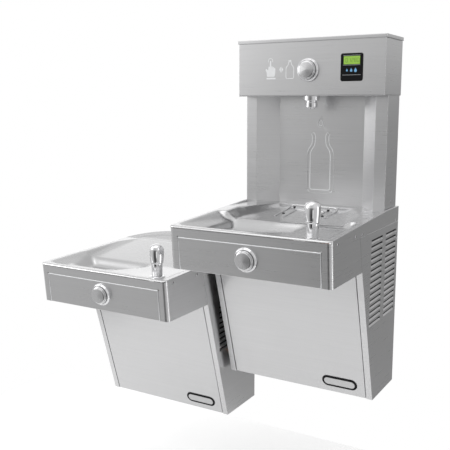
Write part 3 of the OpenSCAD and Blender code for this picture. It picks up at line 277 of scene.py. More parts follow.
def shade(colour, factor):
    return tuple(min(1.0, c * factor) for c in colour)


def brushed_lines(b, place, lines):
    """Brushing along the width on upright faces and decks: fine hairs over broad bands."""
    up = abs(b.parts(b.add("ShaderNodeNewGeometry")[1])[2]).ramp(0.55, 0.85)

    def hairs(count, length, seed):
        upright = b.noise(b.moved(place, (seed, seed, seed), scale=(length, length, count)), detail=1.5)
        flat = b.noise(b.moved(place, (seed, seed, seed), scale=(length, count, length)), detail=1.5)
        return upright * (1 - up) + flat * up

    return hairs(lines, 7.0, 3.1), hairs(lines * 0.22, 2.2, 8.7)


@finish
def brushed(b, dull=0.0, tone=1.0, grain=1.0):
    steel = bpy.context.scene.station_steel
    place = b.place()
    fine, broad = brushed_lines(b, place, steel.lines)
    cloud = b.noise(place, 3.4, 3.0)
    smudge = b.noise(b.moved(place, (5, 1, 2)), 11.0, 4.0, 0.6, 0.8).ramp(0.52, 0.75)
    mix = fine * 0.50 + broad * 0.25 + cloud * 0.25
    rough = (fine - 0.5) * 0.12 + (cloud - 0.5) * 0.06 + smudge * 0.04 + (steel.roughness + dull)
    b.surface(Base_Color=b.blend(mix, shade(steel.tone, 0.91 * tone), shade(steel.tone, 1.09 * tone)),
              Metallic=1.0, Roughness=rough,
              Normal=b.bump(fine * 0.8 + broad * 0.2, steel.grain * grain, 0.0004))


@finish
def pressed(b, tone=1.0):
    """Drawn steel of the basins: polished over the drawing lines, with faint water marks."""
    steel = bpy.context.scene.station_steel
    place = b.place()
    fine, broad = brushed_lines(b, place, steel.lines * 1.2)
    cloud = b.noise(place, 6.0, 4.0)
    marks = abs(b.noise(b.moved(place, (4, 4, 0)), 26.0, 3.0, 0.5, 1.2) - 0.52).ramp(0.0, 0.05)
    mix = fine * 0.3 + broad * 0.2 + cloud * 0.5
    b.surface(Base_Color=b.blend(mix, shade(steel.tone, 0.90 * tone), shade(steel.tone, 1.05 * tone)),
              Metallic=1.0, Roughness=(fine - 0.5) * 0.06 + (cloud - 0.5) * 0.10 - marks * 0.006 + 0.27,
              Normal=b.bump(fine * 0.6 + cloud * 0.4, 0.08, 0.0004))


@finish
def chrome(b, tone=1.0):
    steel = bpy.context.scene.station_steel
    place = b.place()
    wipe = b.noise(b.moved(place, scale=(60, 60, 14)), 1.0, 3.0, 0.6, 1.5)
    spots = b.noise(b.moved(place, (3, 7, 1)), 140.0, 2.0).ramp(0.66, 0.74)
    b.surface(Base_Color=b.blend(wipe, shade(steel.chrome, 0.94 * tone), shade(steel.chrome, 1.03 * tone)),
              Metallic=1.0, Roughness=wipe * 0.05 + spots * 0.10 + 0.055,
              Normal=b.bump(wipe + spots * 0.4, 0.03, 0.0004))


@finish
def turned(b, centre, tilt):
    """Chrome faced on a lathe: rings round the button's axis, which stands at centre, tilted about X."""
    steel = bpy.context.scene.station_steel
    place = b.moved(b.place(), tuple(centre), (tilt, 0, 0), kind="TEXTURE")
    x, y = b.parts(place)[:2]
    out = (x * x + y * y) ** 0.5
    rings = b.noise(b.joined(out * 1500.0), 1.0, 2.0, 0.6)
    wipe = b.noise(b.moved(place, (9, 2, 4)), 25.0, 2.0)
    face = 1 - out.ramp(0.0215, 0.0230)
    mix = rings * 0.5 + wipe * 0.5
    b.surface(Base_Color=b.blend(mix, shade(steel.chrome, 0.70), shade(steel.chrome, 0.86)), Metallic=1.0,
              Roughness=face * 0.13 + wipe * 0.02 + 0.09, Normal=b.bump(rings * face, 0.25, 0.0006))


@finish
def galvanised(b):
    place = b.place()
    tone = b.parts(b.cells(place, 95.0)[1])[0]
    cloud = b.noise(place, 8.0, 4.0)
    white_rust = b.noise(b.moved(place, (2, 6, 3)), 22.0, 5.0).ramp(0.60, 0.72)
    zinc = b.blend(tone * 0.7 + cloud * 0.3, (0.36, 0.37, 0.385), (0.58, 0.59, 0.605))
    b.surface(Base_Color=b.blend(white_rust * 0.35, zinc, (0.66, 0.66, 0.65)), Metallic=0.92,
              Roughness=tone * 0.16 + cloud * 0.1 + white_rust * 0.15 + 0.28,
              Normal=b.bump(tone + cloud * 0.5, 0.10, 0.0004))


@finish
def moulded(b, colour, rough=0.42, scale=900.0, metal=0.0, coat=0.0, strength=0.08, dusty=0.22, ior=1.5):
    """A moulded or painted piece: fine texture, soft dust and a little variation."""
    place = b.place()
    texture = b.noise(place, scale, 2.0)
    cloud = b.noise(b.moved(place, (3, 3, 3)), 18.0, 4.0)
    dust = b.noise(b.moved(place, (8, 1, 5)), 55.0, 5.0, 0.65).ramp(0.50, 0.78)
    paint = b.blend(cloud, shade(colour, 0.88), shade(colour, 1.10))
    grey = tuple(0.6 * c + 0.4 * 0.35 for c in colour)
    b.surface(Base_Color=b.blend(dust * dusty, paint, grey), Metallic=metal,
              Roughness=cloud * 0.10 + dust * 0.12 + rough, Coat_Weight=coat, IOR=ior,
              Normal=b.bump(texture * 0.8 + cloud * 0.2, strength, 0.0005))


@finish
def copper_pipe(b):
    place = b.place()
    stain = b.noise(place, 16.0, 5.0, 0.6, 0.6)
    dark = stain.ramp(0.48, 0.72)
    green = b.noise(b.moved(place, (7, 2, 9)), 34.0, 5.0).ramp(0.66, 0.76)
    colour = b.blend(dark, (0.78, 0.40, 0.26), (0.36, 0.17, 0.10))
    b.surface(Base_Color=b.blend(green * 0.5, colour, (0.24, 0.38, 0.31)), Metallic=1 - green * 0.6,
              Roughness=dark * 0.22 + green * 0.2 + 0.24, Normal=b.bump(stain, 0.10, 0.0004))


@finish
def circuit(b):
    """Green board with paler tracks and golden pads."""
    x, _, z = b.parts(b.place())
    flat = b.joined(x, z)
    tracks = b.add("ShaderNodeTexBrick", {"offset": 0.37, "squash": 1.0},
                   {"Vector": flat, "Scale": 90.0, "Mortar Size": 0.06, "Bias": 0.0})[1]
    pad = 1 - b.cells(flat, 170.0, 0.3)[0].ramp(0.16, 0.20)
    green = b.blend(tracks, (0.02, 0.16, 0.07), (0.05, 0.28, 0.12))
    b.surface(Base_Color=b.blend(pad, green, (0.70, 0.58, 0.28)), Metallic=pad * 0.9,
              Roughness=0.40 - pad * 0.15, Normal=b.bump(tracks + pad, 0.2, 0.0003))


@finish
def foam(b):
    place = b.place()
    cells = b.cells(place, 420.0)[0]
    cloud = b.noise(place, 14.0, 4.0)
    b.surface(Base_Color=b.blend(cloud * 0.6 + cells * 0.4, (0.018, 0.018, 0.019), (0.06, 0.06, 0.062)),
              Roughness=cells * 0.1 + 0.82, Normal=b.bump(cells, 0.55, 0.0008))


@finish
def dust_screen(b):
    """Fine black gauze behind the louvres: painted shade inside the cabinet."""
    place = b.place()
    _, y, z = b.parts(place)
    weave = ((y * 4200.0).sine() * (z * 4200.0).sine()).ramp(-0.4, 0.4)
    fluff = b.noise(place, 30.0, 5.0, 0.6).ramp(0.55, 0.80)
    thread = b.blend(weave, (0.006, 0.006, 0.006), (0.018, 0.018, 0.018))
    b.surface(Base_Color=b.blend(fluff * 0.15, thread, (0.10, 0.10, 0.095)), Roughness=weave * 0.1 + 0.75,
              Normal=b.bump(weave, 0.4, 0.0003))


@finish
def lit_window(b):
    lamp = tuple(bpy.context.scene.station_display.lamp)
    place = b.place()
    x, _, z = b.parts(place)
    grid = ((x * 5200.0).sine() * (z * 5200.0).sine()).ramp(-0.6, 0.6)
    glow = b.noise(b.moved(place, (1, 1, 1)), 30.0, 2.0)
    colour = b.blend(grid * 0.3 + glow * 0.7, shade(lamp, 0.86), shade(lamp, 1.12))
    b.surface(Base_Color=colour, Roughness=glow * 0.06 + 0.16, Coat_Weight=0.6, Emission_Color=colour,
              Emission_Strength=0.22, Normal=b.bump(grid, 0.02, 0.0002))


@finish
def printed(b, colour, rough=0.45):
    """Ink on a panel, slightly uneven."""
    speck = b.noise(b.place(), 700.0, 3.0)
    b.surface(Base_Color=b.blend(speck, shade(colour, 0.90), shade(colour, 1.06)),
              Roughness=speck * 0.1 + rough, Normal=b.bump(speck, 0.05, 0.0002))


@finish
def etched(b, metal=0.05):
    """Bright matt white: frosted marks etched on the steel, and painted highlights on the hems and the raised
    lines.
    """
    place = b.place()
    frost = b.noise(place, 2200.0, 2.0)
    cloud = b.noise(place, 60.0, 3.0)
    b.surface(Base_Color=b.blend(frost * 0.5 + cloud * 0.5, (0.84, 0.85, 0.86), (0.94, 0.95, 0.96)),
              Metallic=metal, Roughness=frost * 0.1 + 0.55, Normal=b.bump(frost, 0.2, 0.0003))


@finish
def filter_wrap(b):
    """White cartridge with a plain blue band."""
    place = b.place()
    low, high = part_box("filter_cartridge")
    share = (b.parts(place)[2] - low.z) / (high.z - low.z)
    band = share.ramp(0.30, 0.305) * (1 - share.ramp(0.62, 0.625))
    cloud = b.noise(place, 20.0, 4.0)
    white = b.blend(cloud, (0.74, 0.75, 0.75), (0.84, 0.84, 0.83))
    b.surface(Base_Color=b.blend(band, white, (0.09, 0.24, 0.48)), Roughness=cloud * 0.1 + 0.3,
              Normal=b.bump(cloud, 0.04, 0.0004))


def as_object(name, form):
    """An object in the scene for a mesh, or for a form, which is used up."""
    if isinstance(form, bmesh.types.BMesh):
        mesh = bpy.data.meshes.new(name)
        form.to_mesh(mesh)
        form.free()
        form = mesh
    piece = bpy.data.objects.new(name, form)
    bpy.context.scene.collection.objects.link(piece)
    return piece


def add_modifier(piece, kind, **settings):
    made = piece.modifiers.new(kind.lower(), kind)
    for key, value in settings.items():
        setattr(made, key, value)
    return made


def bake_modifiers(piece):
    """Turns what the modifiers make into the piece's own mesh."""
    graph = bpy.context.evaluated_depsgraph_get()
    mesh = bpy.data.meshes.new_from_object(piece.evaluated_get(graph), preserve_all_data_layers=True,
                                           depsgraph=graph)
    old, name = piece.data, piece.data.name
    piece.modifiers.clear()
    piece.data = mesh
    bpy.data.meshes.remove(old)
    mesh.name = name


def baked_mesh(piece):
    """The plain mesh that a piece's modifiers make; the piece is used up."""
    bake_modifiers(piece)
    mesh = piece.data
    bpy.data.objects.remove(piece)
    return mesh


def add_piece(name, form, material, *replaced, body="station", slot="stainless", smooth=32.0):
    """Shades a form by angle, weighs its normals by area and rides it on its body."""
    piece = as_object(name, form)
    mesh = piece.data
    mesh.materials.clear()
    mesh.materials.append(material)
    mesh.shade_smooth()
    mesh.set_sharp_from_angle(angle=math.radians(smooth))
    add_modifier(piece, "WEIGHTED_NORMAL", keep_sharp=True, weight=60)
    bake_modifiers(piece)
    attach(piece, body)
    if replaced:
        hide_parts(*replaced)


def add_plated(name, form, *replaced, smooth=40.0):
    add_piece(name, form, chrome("polished_chrome"), *replaced, slot="chrome", smooth=smooth)


def cad_copy(node):
    """A node's solid, with its flat faces whole again."""
    form = bmesh.new()
    form.from_mesh(NODES[node].data)
    bmesh.ops.remove_doubles(form, verts=form.verts, dist=2e-5)
    bmesh.ops.dissolve_limit(form, angle_limit=math.radians(0.5), use_dissolve_boundaries=False,
                             verts=form.verts, edges=form.edges)
    return form


def round_edges(form, chosen, radius, segments, least):
    """Rounds each sharp edge longer than least whose two ends the test picks."""
    edges = [e for e in form.edges if len(e.link_faces) == 2 and e.calc_length() > least
             and e.calc_face_angle(0) > math.radians(35) and chosen(e.verts[0].co, e.verts[1].co)]
    if edges:
        bmesh.ops.bevel(form, geom=edges, offset=radius, offset_type="OFFSET", segments=segments, profile=0.5,
                        affect="EDGES", clamp_overlap=False)
    return len(edges)


def both(test):
    return lambda a, b: test(a) and test(b)


def near(value, target, margin=0.0004):
    return abs(value - target) < margin


def fillet(corners, steps):
    """A flat outline from its corners: (x, y), or (x, y, radius) where the corner is rounded."""
    outline = []
    for i, (x, y, *radius) in enumerate(corners):
        if not radius:
            outline.append((x, y))
            continue
        here = Vector((x, y))
        back, on = Vector(corners[i - 1][:2]) - here, Vector(corners[i + 1][:2]) - here
        r = min(radius[0], back.length * 0.49, on.length * 0.49)
        start, end = here + back.normalized() * r, here + on.normalized() * r
        for k in range(steps + 1):
            t = k / steps
            outline.append(tuple(start * (1 - t) ** 2 + here * 2 * t * (1 - t) + end * t ** 2))
    return outline


def circle(r, sides):
    turns = [2 * math.pi * k / sides for k in range(sides)]
    return [(r * math.cos(a), r * math.sin(a)) for a in turns]


def join_rows(form, first, second, closed=False):
    """Faces between two rows of vertices."""
    count = len(first)
    for k in range(count if closed else count - 1):
        n = (k + 1) % count
        form.faces.new((first[k], first[n], second[n], second[k]))


def spun(corners, steps, sides, crown=()):
    """A turned form about Z from corners of (radius, height), closed on the axis or onto itself."""
    form = bmesh.new()
    rings = []
    for r, z in [*fillet(corners, steps), *crown]:
        ring = circle(r, sides) if r > 1e-7 else [(0, 0)]
        rings.append([form.verts.new((x, y, z)) for x, y in ring])
    for a, b in zip(rings, rings[1:]):
        for k in range(sides):
            around = [a[k % len(a)], a[(k + 1) % len(a)], b[(k + 1) % len(b)], b[k % len(b)]]
            kept = list(dict.fromkeys(around))
            if len(kept) > 2:
                form.faces.new(kept)
    bmesh.ops.recalc_face_normals(form, faces=form.faces)
    if corners[0][:2] == corners[-1][:2]:
        bmesh.ops.remove_doubles(form, verts=form.verts, dist=1e-6)
    return form


def facing(place, lean=0.0):
    """Stands a plate drawn in X and Y at a place, with its Z towards the front."""
    return Matrix.Translation(place) @ Matrix.Rotation(math.pi / 2 + lean, 4, "X")


def slab(outline, low, high, chamfer=0.0):
    """A plate from a closed flat outline in X and Y, between two heights, its top edge eased."""
    form = bmesh.new()
    face = form.faces.new([form.verts.new((x, y, low)) for x, y in outline])
    if face.calc_area() and face.normal.z > 0:
        face.normal_flip()
    raised = bmesh.ops.extrude_face_region(form, geom=[face])["geom"]
    upper = [v for v in raised if isinstance(v, bmesh.types.BMVert)]
    bmesh.ops.translate(form, vec=(0, 0, high - low), verts=upper)
    bmesh.ops.recalc_face_normals(form, faces=form.faces)
    if chamfer:
        edges = [e for e in form.edges if all(near(v.co.z, high, 1e-6) for v in e.verts)]
        bmesh.ops.bevel(form, geom=edges, offset=chamfer, segments=2, profile=0.5, affect="EDGES")
    return form


def rounded_box(w, h, r, steps, y=0.0):
    """Outline of a plate with round corners, centred on X and at y."""
    outline = []
    for corner, (sx, sy) in enumerate(((1, 1), (-1, 1), (-1, -1), (1, -1))):
        for k in range(steps + 1):
            a = math.radians(90 * (corner + k / steps))
            outline.append((sx * (w / 2 - r) + r * math.cos(a), y + sy * (h / 2 - r) + r * math.sin(a)))
    return outline


def merge(*forms):
    """One form from several, which are used up."""
    whole = bmesh.new()
    for form in forms:
        mesh = bpy.data.meshes.new("joined")
        form.to_mesh(mesh)
        form.free()
        whole.from_mesh(mesh)
        bpy.data.meshes.remove(mesh)
    return whole


def moved(form, matrix):
    bmesh.ops.transform(form, matrix=matrix, verts=form.verts)
    return form


def tube(path, r, sides, closed=False):
    """A round rod along a path of points, with flat ends unless it is closed."""
    form = bmesh.new()
    points = [Vector(p) for p in path]
    rings = []
    side = None
    for i, p in enumerate(points):
        a = points[i - 1] if i or closed else p
        c = points[(i + 1) % len(points)] if i < len(points) - 1 or closed else p
        ahead = (c - a).normalized()
        if side is None:
            side = ahead.orthogonal().normalized()
        side = (side - ahead * side.dot(ahead)).normalized()
        other = ahead.cross(side)
        rings.append([form.verts.new(p + (side * u + other * v) * r) for u, v in circle(1.0, sides)])
    for a, b in zip(rings, rings[1:] + rings[:1] if closed else rings[1:]):
        join_rows(form, a, b, closed=True)
    if not closed:
        form.faces.new(rings[0])
        form.faces.new(rings[-1])
    bmesh.ops.recalc_face_normals(form, faces=form.faces)
    return form


def surface_tree(mesh):
    """A mesh to cast rays at."""
    places = [v.co.copy() for v in mesh.vertices]
    return BVHTree.FromPolygons(places, [tuple(p.vertices) for p in mesh.polygons])


def fill_gaps(grid):
    """Fills the cells where a ray met nothing with the mean of their neighbours."""
    known = ~np.isnan(grid)

    def neighbours(values):
        padded = np.pad(values, 1)
        rows, columns = values.shape
        return sum(padded[i:i + rows, j:j + columns] for i in range(3) for j in range(3))

    while not known.all():
        total, count = neighbours(np.where(known, grid, 0.0)), neighbours(known.astype(float))
        new = ~known & (count > 0)
        grid[new] = (total / np.maximum(count, 1))[new]
        known |= new
    return grid


def soften(grid, cells):
    """Gaussian blur of a height map, by cells."""
    reach = int(3 * cells) + 1
    weights = np.exp(-0.5 * (np.arange(-reach, reach + 1) / cells) ** 2)
    weights /= weights.sum()
    for axis in (0, 1):
        padded = np.pad(grid, [(reach, reach) if a == axis else (0, 0) for a in (0, 1)], mode="edge")
        grid = sum(w * np.take(padded, np.arange(k, k + grid.shape[axis]), axis=axis)
                   for k, w in enumerate(weights))
    return grid


def rim_height(low, y):
    """Height of the rim over the foot of its unit, at a depth."""
    if low:
        return np.interp(y, (-DEPTH, -DEPTH * 0.19, 0.0), (RIM, RIM + 0.011, RIM + 0.029))
    return np.interp(y, (-DEPTH, -COLUMN_D, 0.0), (RIM, RIM + RIM_RISE, RIM + RIM_RISE))


def back_edge(low, x):
    """Depth of the back edge: an arch on the lower basin."""
    over = abs(x) - ARCH_HALF_FLAT
    if not low or over <= 0:
        return 0.0
    return min(0.0, ARCH_Y + math.sqrt(max(0.0, ARCH_R ** 2 - over ** 2)))


def basin_columns(values):
    """Columns of the height map: X, and how far a corner column has turned, or None between the corners."""
    centre, across = HALF - CORNER, CORNER - SHEET
    turns = [math.radians(a) for a in (0, 12, 24, 36, 48, 60, 72, 82)]
    middle = np.linspace(-centre, centre, int(2 * centre / values.cell) + 1)
    return ([(-(centre + across * math.cos(t)), t) for t in turns] + [(x, None) for x in middle]
            + [(centre + across * math.cos(t), t) for t in reversed(turns)])


def sampled(node, unit, xs, ys, back):
    """Height of the solid over the unit's foot at each point of the map; nan where there is none."""
    tree = surface_tree(NODES[node].data)
    inset, above, reach = 0.0004, 0.6, 0.145
    found = np.full(ys.shape, np.nan)
    for i, x in enumerate(xs):
        px = max(-HALF + inset, min(HALF - inset, x)) + unit.x
        for j, y in enumerate(ys[i]):
            py = min(max(y, -DEPTH + inset), back[i] - inset) + unit.y
            point = tree.ray_cast(Vector((px, py, unit.z + above)), Vector((0, 0, -1)), reach)[0]
            if point is not None:
                found[i, j] = point.z - unit.z
    return found


def drawn(found, xs, ys, low, values):
    """Softens the lips and floors of the hollows, and keeps the seats of the drain and the bubbler flat."""
    from_drain = np.hypot(xs[:, None] - DRAIN.x, ys - DRAIN.y)
    from_bubbler = np.hypot(xs[:, None] - BUBBLER.x, ys - BUBBLER.y)
    found[from_drain < DRAIN_R + 0.0025] = BOWL
    found[from_bubbler < 0.0135] = DECK
    found = fill_gaps(found)
    rim = rim_height(low, ys)
    if not low:
        rim = np.where((np.abs(xs)[:, None] < LEDGE_HALF) & (rim > LEDGE), LEDGE, rim)
    depth = np.maximum(0.0, rim - found)
    lip = soften(depth, values.lip / values.cell)
    floor = soften(depth, values.floor / values.cell)
    part = np.clip((lip - 0.005) / 0.008, 0, 1)
    part = part * part * (3 - 2 * part)
    depth = lip * (1 - part) + floor * part
    for distance, flat, fade, seat in ((from_drain, 0.028, 0.014, BOWL), (from_bubbler, 0.025, 0.01, DECK)):
        share = np.clip((distance - flat) / fade, 0, 1)
        depth = depth * share + (rim - seat) * (1 - share)
    return rim - depth


def rolled_edge(form, top, columns, ys):
    """Rolls the border down a quarter turn, from the left side round the front to the right side."""
    centre, steps = HALF - CORNER, 5
    rows = len(top[0])
    border = [(top[0][j], -HALF, ys[0, j]) for j in range(rows - 1, 0, -1)]
    for (x, t), column in zip(columns, top):
        turn = math.pi / 2 if t is None else t
        out_x = x if t is None else math.copysign(centre + CORNER * math.cos(turn), x)
        border.append((column[0], out_x, -DEPTH + CORNER - CORNER * math.sin(turn)))
    border += [(top[-1][j], HALF, ys[-1, j]) for j in range(1, rows)]
    last = [v for v, _, _ in border]
    for k in range(1, steps + 1):
        a = math.pi / 2 * k / steps
        ring = []
        for v, out_x, out_y in border:
            dx, dy = out_x - v.co.x, out_y - v.co.y
            drop = math.hypot(dx, dy) * (1 - math.cos(a))
            ring.append(form.verts.new((v.co.x + dx * math.sin(a), v.co.y + dy * math.sin(a), v.co.z - drop)))
        join_rows(form, last, ring)
        last = ring
    return last


def arched_skirt(form, top, xs, back, ends):
    """Sheet under the arched back, down to the corner shelves, on both sides."""
    steps = 4
    arch = [i for i, y in enumerate(back) if y < -0.0005]
    left = [ends[0]] + [top[i][-1] for i in arch if xs[i] < 0]
    right = [top[i][-1] for i in arch if xs[i] > 0] + [ends[-1]]
    for run in (left, right):
        prior = run
        for k in range(1, steps + 1):
            ring = [form.verts.new((v.co.x, v.co.y, v.co.z + (SHELF - v.co.z) * k / steps)) for v in run]
            join_rows(form, prior, ring)
            prior = ring


def cut_hole(form, centre, r):
    """Takes out the cells inside a circle and draws the hole's border onto it."""
    inside = [f for f in form.faces if (f.calc_center_median().xy - centre).length < r]
    bmesh.ops.delete(form, geom=inside, context="FACES")
    for v in form.verts:
        out = v.co.xy - centre
        if v.is_boundary and 0.4 * r < out.length < 1.5 * r:
            v.co.xy = centre + out.normalized() * r


def basin_form(node, unit, low):
    """A basin's sheet as a fine height map over its plan, sampled from the solid and softened."""
    values = bpy.context.scene.station_basins
    columns = basin_columns(values)
    rows = int(DEPTH / values.cell)
    along = CORNER - values.nose
    xs = np.array([x for x, _ in columns])
    front = np.array([-DEPTH + CORNER - along * (1.0 if t is None else math.sin(t)) for _, t in columns])
    back = np.array([back_edge(low, x) for x in xs])
    ys = front[:, None] + (back - front)[:, None] * np.linspace(0, 1, rows)[None, :]
    height = drawn(sampled(node, unit, xs, ys, back), xs, ys, low, values)
    form = bmesh.new()
    top = [[form.verts.new((x, y, z)) for y, z in zip(ys[i], height[i])] for i, x in enumerate(xs)]
    for first, second in zip(top, top[1:]):
        join_rows(form, first, second)
    ends = rolled_edge(form, top, columns, ys)
    if low:
        arched_skirt(form, top, xs, back, ends)
    cut_hole(form, DRAIN, DRAIN_R)
    cut_hole(form, BUBBLER, STEM_HOLE)
    bmesh.ops.remove_doubles(form, verts=form.verts, dist=1e-6)
    bmesh.ops.recalc_face_normals(form, faces=form.faces)
    if sum(f.normal.z for f in form.faces) < 0:
        bmesh.ops.reverse_faces(form, faces=form.faces)
    bmesh.ops.translate(form, vec=unit, verts=form.verts)
    return form


class STATION_OT_basins(bpy.types.Operator):
    """Presses both basins and rolls their front edges"""
    bl_idname = "station.basins"
    bl_label = "Basins"

    def execute(self, context):
        for side, unit in UNITS.items():
            name = side + "_basin_pressing"
            sheet = as_object(name, basin_form(side + "_basin", unit, side == "low"))
            add_modifier(sheet, "SOLIDIFY", thickness=SHEET, offset=-1.0)
            add_piece(name, baked_mesh(sheet), pressed("pressed_steel"), side + "_basin", smooth=50)
        unit = UNITS["low"]
        inner = HALF - SHEET
        arch = [(x, back_edge(True, x)) for x in np.linspace(HALF - 0.001, 0.106, 24)]
        for end, sign in (("left", -1), ("right", 1)):
            outline = [(unit.x + sign * x, y) for x, y in [(inner, -0.101), *arch, (inner, 0.0)]]
            shelf = slab(outline, unit.z + SHELF, unit.z + SHELF + SHEET)
            add_piece("low_corner_shelf_" + end, shelf, brushed("brushed_steel"))
        return {"FINISHED"}


class STATION_OT_head(bpy.types.Operator):
    """Head cover and its cap, with rounded folds"""
    bl_idname = "station.head"
    bl_label = "Head and cap"

    def execute(self, context):
        sheets = context.scene.station_sheets
        head = cad_copy("filler_head")
        low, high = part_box("filler_head")
        fold = both(lambda v: near(abs(v.x), high.x) and near(v.y, low.y))
        foot = both(lambda v: near(v.y, low.y) and near(v.z, low.z))
        side = both(lambda v: near(abs(v.x), high.x) and near(v.z, low.z))
        if not round_edges(head, lambda a, b: fold(a, b) or foot(a, b) or side(a, b), sheets.fold, 4, 0.02):
            raise RuntimeError("the head has no folds to round")
        add_piece("head_cover", head, brushed("brushed_steel"), "filler_head")
        cap = cad_copy("filler_cap")
        low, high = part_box("filler_cap")
        outer = both(lambda v: near(abs(v.x), high.x) or near(v.y, low.y))
        top = both(lambda v: near(v.z, high.z))
        round_edges(cap, lambda a, b: outer(a, b) or top(a, b), 0.0013, 3, 0.004)
        add_piece("head_cap", cap, brushed("cap_steel", 0.02), "filler_cap")
        return {"FINISHED"}


class STATION_OT_column(bpy.types.Operator):
    """Folded column with the alcove, and the raised bottle and drop on its back"""
    bl_idname = "station.column"
    bl_label = "Column"

    def execute(self, context):
        column = cad_copy("filler_column")
        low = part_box("filler_column")[0]
        front = both(lambda v: near(v.y, low.y, 0.0012) and abs(v.x) > 0.18)

        def upright(a, b):
            return abs(a.z - b.z) > 0.2 and abs(a.x - b.x) < 0.001 and front(a, b)

        round_edges(column, upright, 0.0014, 4, 0.02)
        add_piece("column_sheet", column, brushed("brushed_steel"), "filler_column")
        # A soft ridge runs along each edge of the raised band of the bottle, and of the drop; its near-white
        # matt colour is a painted highlight.
        face = ALCOVE_D - COLUMN_D
        drop_up = 0.245
        half = [(0.0, 0.0393), (0.0378, 0.0393, 0.013), (0.0378, 0.1600, 0.013), (0.0218, 0.1845, 0.010),
                (0.0218, 0.2090, 0.004), (0.0262, 0.2160)]
        line = fillet(half, 7)
        loops = [stroke([(-x, z) for x, z in reversed(line)] + line[1:], 0.0100)]
        loops += [[(x, z + drop_up) for x, z in drop_outline(size)] for size in (0.0215, 0.0125)]
        ridges = [tube([(x, face, low.z + z) for x, z in loop], 0.0012, 8, closed=True) for loop in loops]
        to_face = Matrix.Translation((0, face, 0))
        flatten = to_face @ Matrix.Diagonal((1, 0.7, 1, 1)) @ to_face.inverted()
        add_piece("alcove_bottle_line", moved(merge(*ridges), flatten), etched("ridge_steel"))
        return {"FINISHED"}


class STATION_OT_aprons(bpy.types.Operator):
    """Aprons with rounded corners, and their hemmed panels"""
    bl_idname = "station.aprons"
    bl_label = "Aprons"

    def execute(self, context):
        sheets = context.scene.station_sheets
        half = HALF - STILE
        top = (APRON_H - BAND) / math.cos(LEAN)
        for side, unit in UNITS.items():
            # Z up along the leaning face from its foot, Y into the sheet
            space = Matrix.Translation(unit + Vector((0, APRON_LEAN - DEPTH, APRON_FOOT)))
            space = space @ Matrix.Rotation(LEAN, 4, "X")
            back = space.inverted()

            def mouth(v):
                p = back @ v
                beside = near(abs(p.x), half + APRON_GAP, 0.0006)
                return near(p.y, 0, 0.0005) and (beside or near(p.z, top, 0.0012))

            def foot(v):
                outer = near((back @ v).y, 0, 0.0006) or near(abs(v.x - unit.x), HALF, 0.0006)
                return outer and near(v.z, unit.z + APRON_FOOT)

            def border(v):
                p = back @ v
                beside = near(abs(p.x), half, 0.0005)
                return near(p.y, 0, 0.0005) and (beside or p.z > HEM_TOP - APRON_GAP or near(p.z, 0, 0.0008))

            apron = cad_copy(side + "_apron")
            round_edges(apron, both(mouth), 0.0011, 3, 0.006)
            round_edges(apron, both(foot), 0.0010, 3, 0.002)
            panel = cad_copy(side + "_apron_panel")
            round_edges(panel, both(border), sheets.hem, 4, 0.02)
            for name, form in (("_apron", apron), ("_apron_panel", panel)):
                steel = brushed("apron_steel", 0.0, 0.98)
                add_piece(side + name + "_sheet", form, steel, side + name, smooth=28)
            # The hem stands a little proud just inside the gap; its near-white matt colour is a painted
            # highlight along the panel's edge.
            edge, foot_z, radius = half - APRON_GAP, 0.0015, 0.0015
            line = [(-edge, foot_z), (-edge, HEM_TOP), (edge, HEM_TOP), (edge, foot_z)]
            hem = tube([(x, 0.0002, z) for x, z in line], radius, 10)
            add_piece(side + "_apron_hem", moved(hem, space), etched("hem_steel", 0.35))
        return {"FINISHED"}


class STATION_OT_front_panels(bpy.types.Operator):
    """Removable front panels, their hems and the blank badges"""
    bl_idname = "station.front_panels"
    bl_label = "Front panels"

    def execute(self, context):
        slope = math.atan((WAIST_D - FOOT_D) / APRON_FOOT)
        for side, unit in UNITS.items():
            space = Matrix.Translation(unit + Vector((0, -FOOT_D, 0))) @ Matrix.Rotation(slope, 4, "X")
            back = space.inverted()

            def border(v):
                p = back @ v
                return near(p.y, 0) and near(abs(p.x), HALF - STRIP, 0.0005)

            panel = cad_copy(side + "_front_panel")
            round_edges(panel, both(border), 0.0012, 4, 0.02)
            add_piece(side + "_front_sheet", panel, brushed("panel_steel", 0.02, 0.95), side + "_front_panel")
            rim = slab(rounded_box(0.108, 0.036, 0.0179, 12), 0.0, 0.0013, 0.0005)
            field = slab(rounded_box(0.0945, 0.0225, 0.0112, 12), 0.0011, 0.0019, 0.0003)
            out = space @ facing((0.137, 0.0, 0.039))
            black = moulded("badge_black", (0.010, 0.010, 0.011), 0.45, dusty=0.02, ior=1.2)
            add_piece(side + "_badge_rim", moved(rim, out), black, slot="black_parts")
            add_piece(side + "_badge_plate", moved(field, out), brushed("badge_steel", 0.03, 0.86, 0.6))
        return {"FINISHED"}


def realised(name, carrier, tree, values, wall=0.0):
    """Runs a node tree on a carrier, made into a sheet first if it has a wall; returns the plain mesh."""
    piece = as_object(name, carrier)
    if wall:
        add_modifier(piece, "SOLIDIFY", thickness=wall, offset=-1.0)
    rows = add_modifier(piece, "NODES", node_group=tree)
    for item in tree.interface.items_tree:
        if item.in_out == "INPUT" and item.name in values:
            rows[item.identifier] = values[item.name]
    return baked_mesh(piece)


def copying_tree(name, inputs, wire_up):
    """A geometry tree that realises copies: wire_up gives their geometry from the named inputs."""
    tree = bpy.data.node_groups.get(name)
    if tree:
        return tree
    tree = bpy.data.node_groups.new(name, "GeometryNodeTree")
    sockets = {"Geometry": "Geometry", **inputs, "Finish": "Material"}
    for label, kind in sockets.items():
        tree.interface.new_socket(label, in_out="INPUT", socket_type="NodeSocket" + kind)
    tree.interface.new_socket("Geometry", in_out="OUTPUT", socket_type="NodeSocketGeometry")
    b = Board(tree)
    source, *given, material = b.add("NodeGroupInput")[:len(sockets)]
    whole = realise(b, wire_up(b, source, *given))
    done = b.add("GeometryNodeSetMaterial", {}, {"Geometry": whole, "Material": material})[0]
    b.add("NodeGroupOutput", {}, {0: done})
    return tree


